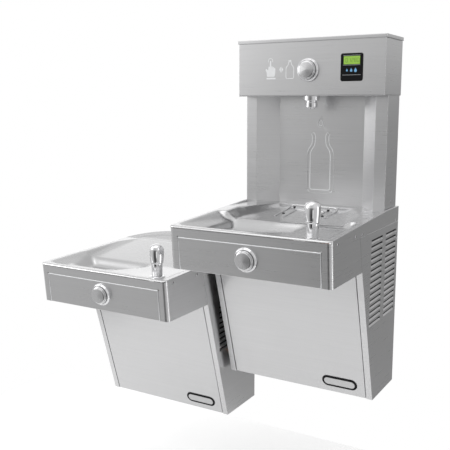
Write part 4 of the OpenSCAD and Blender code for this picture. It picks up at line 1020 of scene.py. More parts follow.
def realise(b, copies):
    return b.add("GeometryNodeRealizeInstances", {}, {"Geometry": copies})[0]


def copies_on(b, points, form, **more):
    return b.add("GeometryNodeInstanceOnPoints", {}, {"Points": points, "Instance": form, **more})[0]


def repeat_rows(b, source, rows, columns, row_step, column_step):
    """Copies of the carrier on a grid."""
    line, fall = (b.add("GeometryNodeMeshLine", {"mode": "OFFSET"}, {"Count": count, "Offset": step})[0]
                  for count, step in ((columns, column_step), (rows, row_step)))
    return copies_on(b, line, realise(b, copies_on(b, fall, source)))


def scatter_points(b, points, piece):
    """Copies of a piece on the carrier's points, each turned by the point's own turn."""
    form = b.add("GeometryNodeObjectInfo", {}, {"Object": piece})[4]
    turn = b.add("GeometryNodeInputNamedAttribute", {"data_type": "FLOAT_VECTOR"}, {"Name": "turn"})[0]
    turned_by = b.add("FunctionNodeEulerToRotation", {}, {0: turn})[0]
    return copies_on(b, points, form, Rotation=turned_by)


def scattered(name, form, places, material):
    """One mesh of copies of a form, a copy for each place and turn."""
    one = as_object(name + "_one", form)
    points = bpy.data.meshes.new(name)
    points.from_pydata([tuple(place.translation) for place in places], [], [])
    turns = points.attributes.new("turn", "FLOAT_VECTOR", "POINT")
    for item, place in zip(turns.data, places):
        item.vector = tuple(place.to_euler("XYZ"))
    tree = copying_tree("scatter_points", {"Piece": "Object"}, scatter_points)
    made = realised(name, points, tree, {"Piece": one, "Finish": material})
    bpy.data.objects.remove(one)
    return made


def louvre_form(sign, x, y, z):
    """One flap, bent into the cabinet from its foot and closed towards its ends."""
    form = bmesh.new()
    along, across, rounding, clear = 22, 7, 0.007, 0.0002
    grid = []
    for i in range(along + 1):
        u = i / along
        u = 0.5 - 0.5 * math.cos(math.pi * u) * (1 - 0.15 * math.sin(math.pi * u) ** 2)
        end = min(u, 1 - u) * LOUVRE_W
        opened = math.sqrt(max(0.0, 1 - max(0.0, 1 - end / rounding) ** 2))
        row = []
        for j in range(across + 1):
            t = j / across
            sink = FLAP_SINK * opened * math.sin(t * math.pi / 2) ** 1.15
            row.append(form.verts.new((x - sign * (clear + sink), y + u * LOUVRE_W, z + FLAP_RISE * t)))
        grid.append(row)
    for a, b in zip(grid, grid[1:]):
        for j in range(across):
            corners = (a[j], b[j], b[j + 1], a[j + 1])
            form.faces.new(corners if sign > 0 else corners[::-1])
    return form


def louvre_patch(form, unit, sign):
    """Swaps the solid's louvred field for a flat one with open windows."""
    border = 0.0045
    field_y = (LOUVRE_COLUMNS[0] - border, LOUVRE_COLUMNS[1] + LOUVRE_W + border)
    foot = LOUVRE_TOP - PITCH * (ROWS - 1) + WINDOW[0]
    field_z = (unit.z + foot - FIELD_RIM, unit.z + LOUVRE_TOP + WINDOW[1] + FIELD_RIM)
    for axis, limits in ((Vector((0, 1, 0)), field_y), (Vector((0, 0, 1)), field_z)):
        for limit in limits:
            bmesh.ops.bisect_plane(form, geom=form.verts[:] + form.edges[:] + form.faces[:], dist=1e-6,
                                   plane_co=axis * limit, plane_no=axis)
    inner = HALF - 0.012

    def held(c):
        inside = field_y[0] < c.y < field_y[1] and field_z[0] < c.z < field_z[1]
        return inside and (c.x - unit.x) * sign > inner

    gone = [f for f in form.faces if held(f.calc_center_median())]
    if len(gone) < 60:
        raise RuntimeError("the side has no louvres to open")
    bmesh.ops.delete(form, geom=gone, context="FACES")
    ys = sorted([*field_y, *LOUVRE_COLUMNS, *(c + LOUVRE_W for c in LOUVRE_COLUMNS)])
    zs = sorted([*field_z] + [unit.z + LOUVRE_TOP - PITCH * i + w for i in range(ROWS) for w in WINDOW])
    outer, inside = ([[form.verts.new((unit.x + sign * x, y, z)) for z in zs] for y in ys]
                     for x in (HALF, HALF - SHEET))
    for i in range(len(ys) - 1):
        for k in range(len(zs) - 1):
            ring = ((i, k), (i + 1, k), (i + 1, k + 1), (i, k + 1))
            if i in (1, 3) and k % 2:
                for (a, c), (e, g) in zip(ring, ring[1:] + ring[:1]):
                    form.faces.new((outer[a][c], outer[e][g], inside[e][g], inside[a][c]))
            else:
                form.faces.new([outer[a][c] for a, c in ring])
                form.faces.new([inside[a][c] for a, c in ring[::-1]])
    bmesh.ops.remove_doubles(form, verts=form.verts, dist=2e-5)
    bmesh.ops.recalc_face_normals(form, faces=form.faces)
    return form


class STATION_OT_sides(bpy.types.Operator):
    """Cabinet sides with their open louvres, and black screens behind them as painted shade"""
    bl_idname = "station.sides"
    bl_label = "Louvred sides"

    def execute(self, context):
        steel = brushed("side_steel", 0.0, 0.98)
        tree = copying_tree("repeat_rows", {"Rows": "Int", "Columns": "Int", "Row Step": "Vector",
                                            "Column Step": "Vector"}, repeat_rows)
        values = {"Rows": ROWS, "Columns": len(LOUVRE_COLUMNS), "Row Step": (0, 0, -PITCH),
                  "Column Step": (0, LOUVRE_COLUMNS[1] - LOUVRE_COLUMNS[0], 0), "Finish": steel}
        front, back, half_t = LOUVRE_COLUMNS[0] - FIELD_RIM, -0.0006, 0.00015
        for (side, unit), (end, sign) in product(UNITS.items(), (("left", -1), ("right", 1))):
            node = f"{side}_side_{end}"
            sheet = louvre_patch(cad_copy(node), unit, sign)
            add_piece(node + "_sheet", sheet, steel, node, smooth=28)
            flap = louvre_form(sign, unit.x + sign * HALF, LOUVRE_COLUMNS[0], unit.z + LOUVRE_TOP + WINDOW[0])
            flaps = realised(node + "_flaps", flap, tree, values, wall=FLAP_T)
            add_piece(node + "_flaps", flaps, steel)
            foot = unit.z + LOUVRE_TOP - PITCH * (ROWS - 1) + WINDOW[0] - FIELD_RIM
            top = unit.z + LOUVRE_TOP + WINDOW[1] + FIELD_RIM
            # A black sheet behind each louvre field paints the shade inside the cabinet
            plate = slab([(front, foot), (back, foot), (back, top), (front, top)], -half_t, half_t)
            depth = unit.x + sign * (HALF - SCREEN_IN)
            stand = Matrix(((0, 0, 1, depth), (1, 0, 0, 0), (0, 1, 0, 0), (0, 0, 0, 1)))
            add_piece(node + "_screen", moved(plate, stand), dust_screen("dust_screen"), slot="black_parts")
        return {"FINISHED"}


def button_frame(name):
    """Z points out of the sheet at a push button."""
    if name == "filler":
        low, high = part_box("filler_button_ring")
        return facing(((low.x + high.x) / 2, HEAD_FRONT, (low.z + high.z) / 2))
    y = APRON_LEAN - DEPTH - BUTTON_UP * math.tan(LEAN)
    return facing(UNITS[name] + Vector((0, y, APRON_FOOT + BUTTON_UP)), LEAN)


class STATION_OT_buttons(bpy.types.Operator):
    """Push buttons in their rings"""
    bl_idname = "station.buttons"
    bl_label = "Push buttons"

    def execute(self, context):
        face_r, face_z, bulge, steps = 0.0224, 0.0178, 0.0026, 12
        crown = []
        for k in range(1, steps + 1):
            share = k / steps
            crown.append((face_r * (1 - share), face_z + bulge * (share - 0.14 * share ** 4)))
        for name in ("filler", "tall", "low"):
            space = button_frame(name)
            tilt = math.pi / 2 + (0 if name == "filler" else LEAN)
            face = turned("turned_chrome_" + name, space.translation, tilt)
            cap = spun([(0, -0.026), (0.006, -0.026, 0.001), (0.006, 0.0076), (0.0265, 0.0076, 0.0006),
                        (0.0265, 0.0112, 0.0008), (0.0249, 0.012, 0.0006), (0.0243, 0.0165, 0.0016),
                        (face_r, face_z)], 5, 96, crown)
            add_piece(name + "_button_cap", moved(cap, space), face, name + "_button", body=name + "_push",
                      slot="chrome", smooth=40)
            ring = spun([(0.0061, -0.016), (0.014, -0.016), (0.014, 0.0), (0.033, 0.0),
                         (0.033, 0.0042, 0.0012), (0.0312, 0.0058, 0.0008), (0.0303, 0.008, 0.001),
                         (0.0288, 0.009, 0.001), (0.0271, 0.0082, 0.0006), (0.0271, 0.002), (0.0102, 0.002),
                         (0.0102, -0.012), (0.0061, -0.012), (0.0061, -0.016)], 4, 96)
            add_plated(name + "_button_bezel", moved(ring, space), name + "_button_ring")
        return {"FINISHED"}


def hood_form():
    """Bubbler's hood: an egg-shaped shell with an oval mouth cut in the side that faces along X."""
    sides, levels = 72, 40
    low, high, wide, foot_r, widest = 0.0460, 0.0960, 0.0205, 0.0190, 0.42
    half_turn, mid, half_high = math.radians(58), 0.0665, 0.0175

    def radius(z):
        t = (z - low) / (high - low)
        if t < widest:
            return foot_r + (wide - foot_r) * math.sin(math.pi / 2 * t / widest)
        return wide * max(0.0, 1 - ((t - widest) / (1 - widest)) ** 4.2) ** 0.46

    def from_mouth(p):
        """1 on the mouth's border, and less inside it."""
        return (math.atan2(p.y, p.x) / half_turn) ** 2 + ((p.z - mid) / half_high) ** 2

    form = bmesh.new()
    heights = [low + (high - low) * (1 - (1 - k / levels) ** 1.35) for k in range(levels)]
    rings = [[form.verts.new((x, y, z)) for x, y in circle(radius(z), sides)] for z in heights]
    crown = form.verts.new((0, 0, high))
    for a, b in zip(rings, rings[1:]):
        join_rows(form, a, b, closed=True)
    for k in range(sides):
        form.faces.new((rings[-1][k], rings[-1][(k + 1) % sides], crown))
    gone = [f for f in form.faces if from_mouth(f.calc_center_median()) < 1]
    bmesh.ops.delete(form, geom=gone, context="FACES")
    for v in form.verts:
        if v.is_boundary and v.co.z > low + 0.001:
            grow = 1 / math.sqrt(max(from_mouth(v.co), 1e-6))
            a = math.atan2(v.co.y, v.co.x) * grow
            z = mid + (v.co.z - mid) * grow
            r = radius(max(low, min(high, z)))
            v.co = (r * math.cos(a), r * math.sin(a), z)
    bmesh.ops.recalc_face_normals(form, faces=form.faces)
    piece = as_object("hood", form)
    add_modifier(piece, "SOLIDIFY", thickness=0.0022, offset=-1.0)
    add_modifier(piece, "BEVEL", width=0.0008, segments=3, limit_method="ANGLE", angle_limit=math.radians(50))
    form = bmesh.new()
    form.from_mesh(baked_mesh(piece))
    return form


class STATION_OT_bubblers(bpy.types.Operator):
    """Bubblers with their hoods, jets, bands and flanges"""
    bl_idname = "station.bubblers"
    bl_label = "Bubblers"

    def execute(self, context):
        for side, unit in UNITS.items():
            place = Matrix.Translation(unit + Vector((BUBBLER.x, BUBBLER.y, DECK)))
            stem = spun([(0, -0.03), (0.01, -0.03, 0.001), (0.01, 0.0033), (0.0158, 0.0033, 0.001),
                         (0.0152, 0.008, 0.004), (0.0156, 0.02, 0.006), (0.0165, 0.0405, 0.002),
                         (0.019, 0.042, 0.001), (0.019, 0.046, 0.001), (0.0176, 0.0466, 0.0006),
                         (0.0, 0.0466)], 6, 80)
            jet = spun([(0, 0.046), (0.006, 0.046), (0.006, 0.056, 0.001), (0.0042, 0.058, 0.001),
                        (0.0022, 0.058, 0.0004), (0.0022, 0.0545), (0, 0.0545)], 4, 32)
            hood = moved(hood_form(), Matrix.Rotation(math.radians(163), 4, "Z"))
            ring = spun([(0.0103, -0.0095), (0.017, -0.0095, 0.0008), (0.017, -0.0015), (0.017, 0.0),
                         (0.0235, 0.0, 0.0005), (0.0232, 0.0014, 0.001), (0.02, 0.0026, 0.002),
                         (0.0172, 0.003, 0.001), (0.0103, 0.003, 0.0004), (0.0103, -0.0095)], 4, 80)
            body = moved(merge(stem, jet, hood), place)
            add_plated(side + "_bubbler_body", body, side + "_bubbler", smooth=42)
            add_plated(side + "_bubbler_base", moved(ring, place), side + "_bubbler_flange", smooth=42)
        return {"FINISHED"}


class STATION_OT_nozzle(bpy.types.Operator):
    """Stepped filler nozzle with its grip ribs"""
    bl_idname = "station.nozzle"
    bl_label = "Nozzle"

    def execute(self, context):
        low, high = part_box("nozzle")
        count, out, down = 12, 0.0170, 0.0262
        nozzle = spun([(0.005, 0.022), (0.01, 0.022, 0.0005), (0.01, 0.0), (0.023, 0.0, 0.0006),
                       (0.023, -0.0135, 0.0016), (0.016, -0.0135, 0.0004), (0.016, -0.0185, 0.0006),
                       (0.0173, -0.019, 0.0006), (0.0173, -0.0335, 0.0022), (0.01, -0.0335, 0.001),
                       (0.0096, -0.0365, 0.0008), (0.005, -0.0365, 0.0004), (0.005, 0.022)], 5, 80)
        place = Matrix.Translation((0, (low.y + high.y) / 2, HEAD_FOOT))
        seat = Matrix.Translation((out, 0, -down)) @ Matrix.Rotation(math.pi / 2, 4, "Y")
        seat = seat @ Matrix.Rotation(math.pi / 2, 4, "Z")
        turns = [place @ Matrix.Rotation(2 * math.pi * k / count, 4, "Z") @ seat for k in range(count)]
        rib = slab(rounded_box(0.0009, 0.0100, 0.0004, 2), 0.0, 0.0005)
        ribs = scattered("nozzle_ribs", rib, turns, chrome("polished_chrome"))
        add_plated("filler_nozzle", moved(nozzle, place), "nozzle")
        add_plated("filler_nozzle_ribs", ribs)
        return {"FINISHED"}


class STATION_OT_strainers(bpy.types.Operator):
    """Drain strainers with their dished rings and screws"""
    bl_idname = "station.strainers"
    bl_label = "Strainers"

    def execute(self, context):
        for side, unit in UNITS.items():
            dress_solid(side + "_strainer", chrome("polished_chrome"))
            place = Matrix.Translation(unit + Vector((DRAIN.x, DRAIN.y, BOWL)))
            ring = spun([(0.0205, 0.0014), (0.0275, 0.0006, 0.0004), (0.027, 0.0022, 0.0006),
                         (0.0235, 0.003, 0.001), (0.0205, 0.002, 0.0004), (0.0205, 0.0014)], 4, 80)
            screw = spun([(0, 0.0012), (0.004, 0.0012), (0.004, 0.002, 0.0005), (0.0028, 0.003, 0.0008),
                          (0, 0.0032)], 4, 32)
            add_plated(side + "_strainer_ring", moved(merge(ring, screw), place), smooth=32)
        return {"FINISHED"}


def shelf_line(floor, corners):
    """A path that lies on the shelf, with points 4 mm apart and softened heights."""
    flat = fillet(corners, 6)
    dense = []
    for (ax, ay), (bx, by) in zip(flat, flat[1:]):
        n = max(1, int(math.hypot(bx - ax, by - ay) / 0.004))
        dense += [(ax + (bx - ax) * k / n, ay + (by - ay) * k / n) for k in range(n)]
    dense.append(flat[-1])
    heights = soften(np.array([[floor(x, y)] for x, y in dense]), 2.0)[:, 0]
    return [(x, y, h + 0.0002) for (x, y), h in zip(dense, heights)]


class STATION_OT_bottle_rest(bpy.types.Operator):
    """Raised rest for a bottle under the nozzle, with black studs that paint the shade of small holes"""
    bl_idname = "station.bottle_rest"
    bl_label = "Bottle rest"

    def execute(self, context):
        tree = surface_tree(bpy.data.objects["tall_basin_pressing"].data)
        radius, sink = 0.0026, 0.0005

        def floor(x, y):
            point = tree.ray_cast(Vector((x, y, 0.3)), Vector((0, 0, -1)), 0.4)[0]
            if point is None:
                raise RuntimeError("there is no shelf under the bottle rest")
            return point.z

        lines = [shelf_line(floor, [(-x, front), (-x, back, r), (x, back, r), (x, front)])
                 for x, front, back, r in ((0.077, -0.196, -0.084, 0.012), (0.047, -0.205, -0.112, 0.010))]
        rest = merge(*(tube(line, radius, 10) for line in lines))
        # The ribs take a lighter copy of the basin steel: a painted highlight
        add_piece("bottle_rest_ribs", rest, pressed("raised_line_steel", 1.12))
        # Black studs at the corners of the rest paint the shade of small holes in the shelf
        stud = spun([(0, 0), (0.0042, 0), (0.0040, 0.0026, 0.001), (0.0, 0.0032)], 4, 24)
        places = [Matrix.Translation((x, y, floor(x, y) - sink))
                  for x, y in ((-0.062, -0.168), (-0.062, -0.092), (0.050, -0.096), (0.062, -0.168))]
        stud_shade = moulded("black_rubber", (0.02, 0.02, 0.021), 0.6, 700)
        studs = scattered("bottle_rest_studs", stud, places, stud_shade)
        add_piece("bottle_rest_studs", studs, stud_shade, slot="black_parts")
        return {"FINISHED"}


# The bars that each figure lights, lettered round from the top, with g in the middle
SEGMENTS = ("abcdef", "bc", "abged", "abgcd", "fgbc", "afgcd", "afgedc", "abc", "abcdefg", "abcdfg")


def digit_form(text, height, x, y, z):
    """Seven-segment figures in a row, as thin plates facing the front."""
    w, t = height * 0.5, height * 0.10
    level, upright = (w - t, t), (t, height / 2 - t)
    place = {"a": (0, height / 2, *level), "g": (0, 0, *level), "d": (0, -height / 2, *level),
             "f": (-w / 2, height / 4, *upright), "b": (w / 2, height / 4, *upright),
             "e": (-w / 2, -height / 4, *upright), "c": (w / 2, -height / 4, *upright)}
    bars = []
    for i, figure in enumerate(text):
        for key in SEGMENTS[int(figure)]:
            cx, cz, bw, bh = place[key]
            bar = slab(rounded_box(bw, bh, min(bw, bh) * 0.3, 2), 0, 0.00012)
            bars.append(moved(bar, facing((x + i * (w + 3 * t) + cx, y, z + cz))))
    return merge(*bars)


class STATION_OT_display(bpy.types.Operator):
    """Display bezel, lit window with its count, and printed drops"""
    bl_idname = "station.display"
    bl_label = "Display"

    def execute(self, context):
        values = context.scene.station_display
        low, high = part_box("display_bezel")
        lens_low, lens_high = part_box("display_window")
        cx, cz = (low.x + high.x) / 2, (low.z + high.z) / 2
        ink_t, proud = 0.00015, 0.00004
        bezel = cad_copy("display_bezel")
        rim = both(lambda v: near(v.y, low.y, 0.0002) and (abs(v.x - cx) > 0.030 or abs(v.z - cz) > 0.034))
        round_edges(bezel, rim, 0.0007, 3, 0.0001)
        black = moulded("bezel_black", (0.008, 0.008, 0.009), 0.34, 1400, dusty=0.02, ior=1.2)
        add_piece("display_frame", bezel, black, "display_bezel", slot="black_parts", smooth=45)
        lens = cad_copy("display_window")
        round_edges(lens, both(lambda v: near(v.y, lens_low.y, 0.0002)), 0.0004, 2, 0.001)
        add_piece("display_lens", lens, lit_window("lit_window"), "display_window", slot="display")
        text = str(values.count).zfill(5)[-5:]
        digits = digit_form(text, 0.0105, cx - 0.0152, lens_low.y + proud, (lens_low.z + lens_high.z) / 2)
        add_piece("display_count", digits, printed("window_ink", (0.10, 0.20, 0.02)), slot="display")
        # Plain printed lines above and below the window, and a divider lower down
        lines = []
        under, divider = lens_low.z - 0.0022, low.z + 0.0170
        for z, width in ((lens_high.z + 0.0022, 0.050), (under, 0.050), (divider, 0.053)):
            bar = slab(rounded_box(width, 0.0007, 0.0003, 2), 0, ink_t)
            lines.append(moved(bar, facing((cx, low.y + proud, z))))
        add_piece("display_lines", merge(*lines), printed("pale_ink", (0.62, 0.64, 0.66)), slot="display")
        drops = []
        for i, size in enumerate((0.0052, 0.0066, 0.0082)):
            place = (cx - 0.0135 + i * 0.0125, low.y + proud, (under + divider) / 2 - size * 0.25)
            drops.append(moved(slab(drop_outline(size), 0, ink_t), facing(place)))
        add_piece("display_drops", merge(*drops), printed("blue_ink", tuple(values.mark)), slot="display")
        return {"FINISHED"}


def arc(r, start, turn, steps, x=0.0, y=0.0):
    """Points round a centre, with angles in degrees."""
    angles = [math.radians(start + turn * k / steps) for k in range(steps + 1)]
    return [(x + r * math.cos(a), y + r * math.sin(a)) for a in angles]


def drop_outline(size):
    """Outline of a drop of water, as high as 1.5 times its size."""
    return arc(size / 2, -205, 230, 22) + [(0, size)]


def stroke(points, width):
    """Outline of a line of that width with square ends."""
    left, right = [], []
    for i, p in enumerate(points):
        ahead = Vector(points[min(len(points) - 1, i + 1)]) - Vector(points[max(0, i - 1)])
        side = Vector((-ahead.y, ahead.x)).normalized() * width / 2
        left.append(tuple(Vector(p) + side))
        right.append(tuple(Vector(p) - side))
    return left + right[::-1]


class STATION_OT_pictograms(bpy.types.Operator):
    """Etched marks on the head: a hand on a button, an arrow and a bottle"""
    bl_idname = "station.pictograms"
    bl_label = "Pictograms"

    def execute(self, context):
        foot, lift = -HANGER, 0.00012
        # Outlines in millimetres, each with the place on the head that its zero point goes to
        palm = fillet([(0, 0), (-13, 0, 2), (-15, 14, 2), (-19, 20, 3), (-16, 24, 3), (-10, 19, 1),
                       (-8, 30, 2), (-4.6, 30, 2), (-4.4, 24, 0.5), (-4, 46, 2.2), (0.2, 46, 2.2),
                       (0.6, 25, 0.5), (1.2, 31, 2), (5.2, 30.5, 2), (5.6, 24, 0.5), (6.2, 29, 2),
                       (9.8, 28, 2), (10.2, 22.5, 0.5), (11, 26, 1.6), (14, 24, 2), (13.5, 8, 3),
                       (11, 0, 2), (0, 0)], 4)[:-1]
        half = fillet([(0, 0), (10, 0, 2.5), (12.5, 3, 2.5), (12.5, 28, 4), (11, 33, 3), (5.2, 39, 2),
                       (4.6, 42, 1), (4.6, 47), (0, 47)], 4)
        bottle = [(-x, z) for x, z in reversed(half)] + half[1:]
        hand_x, arrows_x, bottle_x = -0.119, -0.086, -0.058
        marks = [(palm, hand_x, 0.918), (rounded_box(30, 4.2, 1.2, 4), hand_x, 0.913),
                 (stroke(arc(7.0, -30, 240, 24, -2, 46), 1.5), hand_x, 0.918),
                 ([(-1.0, -9), (-6.5, 0), (-1.0, 9)], arrows_x, 0.938),
                 ([(1.0, 9), (6.5, 0), (1.0, -9)], arrows_x, 0.938),
                 (stroke(bottle, 2.0), bottle_x, 0.912), (rounded_box(9.5, 4, 1.5, 4, 50.5), bottle_x, 0.912)]
        plates = []
        for outline, x, up in marks:
            plate = slab([(px / 1000, pz / 1000) for px, pz in outline], 0, lift)
            plates.append(moved(plate, facing((x, HEAD_FRONT + 0.00002, foot + up))))
        add_piece("head_pictograms", merge(*plates), etched("etched_steel"))
        return {"FINISHED"}


def screw_forms():
    """Pan head and a cross laid on it where its recess would be, X out of the sheet; the cross is dark as
    painted shade.
    """
    head = spun([(0, -0.006), (0.002, -0.006), (0.002, 0.0), (0.0042, 0.0, 0.0002), (0.0042, 0.0007, 0.0005),
                 (0.0026, 0.0017, 0.0008), (0, 0.0018)], 3, 24)
    bars = [slab(rounded_box(0.0040, 0.0009, 0.0003, 2), 0.00172, 0.00186) for _ in range(2)]
    cross = merge(bars[0], moved(bars[1], Matrix.Rotation(math.pi / 2, 4, "Z")))
    outward = Matrix.Rotation(math.pi / 2, 4, "Y")
    return moved(head, outward), moved(cross, outward)


def islands(form):
    """The places of each separate solid's vertices, in the order of their first vertices."""
    seen = set()
    for start in form.verts:
        if start.index in seen:
            continue
        seen.add(start.index)
        group, edge = [], [start]
        while edge:
            v = edge.pop()
            group.append(v.co.copy())
            for other in (e.other_vert(v) for e in v.link_edges):
                if other.index not in seen:
                    seen.add(other.index)
                    edge.append(other)
        yield group


class STATION_OT_screws(bpy.types.Operator):
    """Casing screws with dark crosses painted as the shade of their recesses, a little turned from one to the
    next
    """
    bl_idname = "station.screws"
    bl_label = "Screws"

    def execute(self, context):
        solid = bmesh.new()
        solid.from_mesh(NODES["casing_screws"].data)
        bmesh.ops.remove_doubles(solid, verts=solid.verts, dist=2e-5)
        solid.verts.index_update()
        places = []
        for i, island in enumerate(islands(solid)):
            mean = sum(island, Vector()) / len(island)
            xs = [p.x for p in island]
            # The head is the wide end, so it tells which way the screw points
            wide = [p.x for p in island if max(abs(p.y - mean.y), abs(p.z - mean.z)) > 0.003]
            to_right = sum(wide) / len(wide) > (min(xs) + max(xs)) / 2
            seat = min(wide) if to_right else max(wide)
            outward = Matrix.Rotation(0 if to_right else math.pi, 4, "Z")
            turn = Matrix.Rotation(math.radians(37 * i), 4, "X")
            places.append(Matrix.Translation((seat, mean.y, mean.z)) @ outward @ turn)
        solid.free()
        head, cross = screw_forms()
        # The recess is a dark cross laid on the head: painted shade
        zinc, dark = chrome("screw_zinc", 0.5), moulded("recess_dark", (0.03, 0.03, 0.03), 0.6)
        add_piece("screw_heads", scattered("screw_heads", head, places, zinc), zinc, "casing_screws",
                  slot="screws", smooth=40)
        add_piece("screw_recesses", scattered("screw_recesses", cross, places, dark), dark, slot="screws")
        return {"FINISHED"}


def dress_solid(node, material):
    """Gives a solid that stays as it is its material."""
    NODES[node].data.materials.clear()
    NODES[node].data.materials.append(material)


class STATION_OT_works(bpy.types.Operator):
    """Finishes of the hidden works, the brackets and the drains"""
    bl_idname = "station.works"
    bl_label = "Works and brackets"

    def execute(self, context):
        finishes = (
            (galvanised("galvanised_sheet"), "filler_wall_plate tall_base_pan low_base_pan tall_back_rail "
             "low_back_rail tall_hanger low_hanger fan_shroud condenser_plates"),
            (chrome("spring_steel"), "filler_spring tall_spring low_spring"),
            (moulded("white_plastic", (0.78, 0.78, 0.76), 0.36, 1200),
             "filler_valve tall_valve low_valve tall_trap low_trap fan_blade filter_head"),
            (moulded("compressor_black", (0.02, 0.02, 0.022), 0.34, 500, coat=0.2, strength=0.12),
             "compressor"),
            (moulded("coil_black", (0.02, 0.02, 0.021), 0.5, 1500, metal=0.3), "condenser"),
            (moulded("motor_black", (0.03, 0.03, 0.033), 0.4, 700), "fan_motor"),
            (moulded("box_grey", (0.22, 0.225, 0.23), 0.45, 900), "control_box"),
            (circuit("circuit_board"), "display_board"),
            (foam("black_foam"), "chiller_tank"),
            (filter_wrap("filter_wrap"), "filter_cartridge"),
            (copper_pipe("copper_tube"), "water_tubes"),
        )
        for material, nodes in finishes:
            for node in nodes.split():
                dress_solid(node, material)
        return {"FINISHED"}


# Patches of light: azimuth (0 in front, 90 to the right), reach and fall-off in degrees,
# from and up to which height, fall-off in height, strength
PATCHES = (
    (100, 6, 6, -0.45, 0.12, 0.12, 1.70),
    (130, 16, 12, -0.60, -0.40, 0.06, 0.36),
    (-137, 10, 7, 0.04, 0.28, 0.08, 0.95),
    (-142, 14, 10, -0.60, -0.10, 0.08, 0.60),
    (29, 4, 3, -0.32, -0.12, 0.04, 0.70),
    (-60, 16, 14, 0.54, 0.66, 0.05, 0.80),
)


def studio_sky(b):
    """Light by direction, and the share of it that is the white backdrop behind the station."""
    x, y, z = b.parts(b.add("ShaderNodeTexCoord")[0])
    flat = (x * x + y * y + 0.0001) ** 0.5
    ahead = y * -1.0 / flat
    aside = x / flat

    def toward(azimuth, reach, fall):
        """1 round an azimuth, falling off beyond its reach."""
        a = math.radians(azimuth)
        level = ahead * math.cos(a) + aside * math.sin(a)
        return level.ramp(math.cos(math.radians(min(180, reach + fall))), math.cos(math.radians(reach)))

    def heights(low, high, fall):
        return z.ramp(low - fall, low) * (1 - z.ramp(high, high + fall))

    # Front: dim near the floor, brighter with height and to the left
    front = z.ramp(-0.24, -0.02) * 0.10 + z.ramp(-0.02, 0.10) * 0.43 + 0.30
    front = front + ((aside + 0.33) * -0.95).most(-0.24).least(0.32)
    light = z.ramp(-0.10, 0.25) * 0.18 + 0.62
    rear = z.ramp(0.10, 0.25) * 0.06 + 0.78
    sides = z.ramp(-0.02, 0.10) * 0.36 + 0.30
    for part, azimuth, reach, fall in ((front, -25, 38, 34), (rear, -155, 60, 30), (sides, 155, 22, 26)):
        light = light + (part - light) * toward(azimuth, reach, fall)
    for azimuth, reach, fall, low, high, fade, strength in PATCHES:
        light = light + toward(azimuth, reach, fall) * heights(low, high, fade) * strength
    light = light + z.ramp(0.82, 0.97) * 0.30
    return light.most(0.05), toward(-150, 22, 8) * heights(-0.04, 0.16, 0.06)


def wire_world(b):
    """The sky lights the station; a white background shows to the camera and in mirrors at the back."""
    seen = b.add("ShaderNodeLightPath")
    sky, backdrop = studio_sky(b)
    shown = seen[0].most(seen[6]).most(seen[3] * backdrop)
    light = b.add("ShaderNodeBackground", {}, {"Color": (1, 1, 1, 1), "Strength": sky})[0]
    white = b.add("ShaderNodeBackground", {}, {"Color": (1, 1, 1, 1), "Strength": 1.0})[0]
    both_ways = b.add("ShaderNodeMixShader", {}, {0: shown, 1: light, 2: white})[0]
    b.add("ShaderNodeOutputWorld", {}, {0: both_ways})


@finish
def floor_paint(b):
    """Pale floor, lifted to the background's white where the camera or a mirror sees it."""
    seen = b.add("ShaderNodeLightPath")
    shown = seen[0].most(seen[3]).most(seen[6])
    tone = b.blend(b.noise(b.place(), 40.0, 4.0), (0.74, 0.74, 0.74), (0.78, 0.78, 0.78))
    plain = b.add("ShaderNodeBsdfDiffuse", {}, {"Color": tone})[0]
    glow = b.add("ShaderNodeEmission", {}, {"Color": (1, 1, 1, 1), "Strength": 0.33})[0]
    lifted = b.add("ShaderNodeAddShader", {}, {0: plain, 1: glow})[0]
    mixed = b.add("ShaderNodeMixShader", {}, {0: shown, 1: plain, 2: lifted})[0]
    b.add("ShaderNodeOutputMaterial", {}, {0: mixed})


def floor_form(reach, height):
    """Disc under the station, cut off behind the wall."""
    middle_x, middle_y, behind = -0.24, 0.05, 0.35
    form = bmesh.new()
    around = [(middle_x + x, min(behind, middle_y + y), height) for x, y in circle(reach, 96)]
    form.faces.new([form.verts.new(corner) for corner in around])
    return form


def camera_turn():
    """The camera's axes in the station's frame, from its yaw, pitch and roll."""
    level = Vector((-math.sin(YAW), math.cos(YAW), 0))
    ahead = level * math.cos(PITCHED) - Vector((0, 0, math.sin(PITCHED)))
    right = Vector((math.cos(YAW), math.sin(YAW), 0))
    up = right.cross(ahead)
    across = right * math.cos(ROLL) + up * math.sin(ROLL)
    above = up * math.cos(ROLL) - right * math.sin(ROLL)
    turn = Matrix((across, above, -ahead)).transposed().to_4x4()
    turn.translation = CAMERA
    return turn


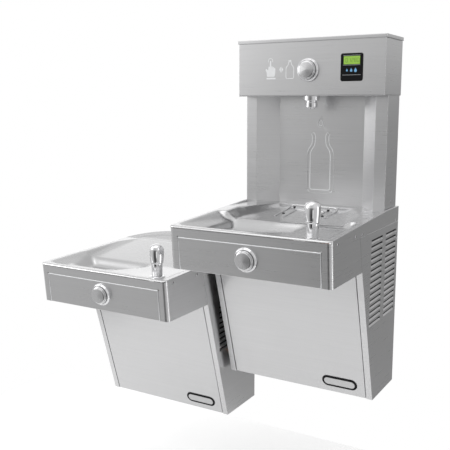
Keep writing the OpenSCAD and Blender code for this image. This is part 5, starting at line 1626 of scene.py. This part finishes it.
class STATION_OT_stage(bpy.types.Operator):
    """Pale floor, soft studio light and the camera"""
    bl_idname = "station.stage"
    bl_label = "Stage"

    def execute(self, context):
        scene = context.scene
        studio = scene.station_studio
        scene.world = bpy.data.worlds.new("studio")
        scene.world.use_nodes = True
        scene.world.node_tree.nodes.clear()
        wire_world(Board(scene.world.node_tree))
        floor = as_object("floor", floor_form(studio.reach, studio.drop))
        floor.data.materials.append(floor_paint("studio_floor"))
        for name, place, target, size, power in (
                ("soft_top", (-0.3, -1.4, 2.2), (-0.2, -0.3, 0.1), 2.2, 1.3),
                ("soft_left", (-2.2, -1.6, 0.6), (-0.2, -0.2, 0.0), 1.1, 1.0)):
            lamp = bpy.data.lights.new(name, "AREA")
            lamp.shape, lamp.size, lamp.energy = "SQUARE", size, studio.soft * power
            holder = bpy.data.objects.new(name, lamp)
            holder.location = place
            holder.rotation_euler = (Vector(target) - Vector(place)).to_track_quat("-Z", "Y").to_euler()
            scene.collection.objects.link(holder)
        camera = bpy.data.cameras.new("camera")
        camera.sensor_width = SENSOR_MM
        camera.lens = FOCAL_SHARE * SENSOR_MM
        camera.clip_start = 0.05
        scene.camera = bpy.data.objects.new("camera", camera)
        scene.camera.matrix_world = camera_turn()
        scene.collection.objects.link(scene.camera)
        scene.view_settings.view_transform = "Standard"
        return {"FINISHED"}


class STATION_PT_panel(bpy.types.Panel):
    bl_idname = "STATION_PT_panel"
    bl_label = "Bottle Filling Station"
    bl_space_type = "VIEW_3D"
    bl_region_type = "UI"
    bl_category = "Station"

    def draw(self, context):
        for key, _ in GROUPS:
            values = getattr(context.scene, key)
            box = self.layout.box()
            for name in values.__annotations__:
                box.prop(values, name)
        for step in STEPS:
            self.layout.operator(step.bl_idname)


GROUPS = (("station_steel", StationSteel), ("station_sheets", StationSheets),
          ("station_basins", StationBasins), ("station_display", StationDisplay),
          ("station_studio", StationStudio))
STEPS = (STATION_OT_works, STATION_OT_head, STATION_OT_column, STATION_OT_basins,
         STATION_OT_bottle_rest, STATION_OT_aprons, STATION_OT_front_panels, STATION_OT_sides,
         STATION_OT_buttons, STATION_OT_bubblers, STATION_OT_nozzle, STATION_OT_strainers,
         STATION_OT_display, STATION_OT_pictograms, STATION_OT_screws, STATION_OT_stage)


def register():
    for key, group in GROUPS:
        bpy.utils.register_class(group)
        setattr(bpy.types.Scene, key, PointerProperty(type=group))
    for kind in STEPS + (STATION_PT_panel,):
        bpy.utils.register_class(kind)


def unregister():
    for kind in reversed(STEPS + (STATION_PT_panel,)):
        bpy.utils.unregister_class(kind)
    for key, group in reversed(GROUPS):
        delattr(bpy.types.Scene, key)
        bpy.utils.unregister_class(group)


def main():
    register()
    for step in STEPS:
        family, name = step.bl_idname.split(".")
        getattr(getattr(bpy.ops, family), name)()


if __name__ == "__main__":
    main()
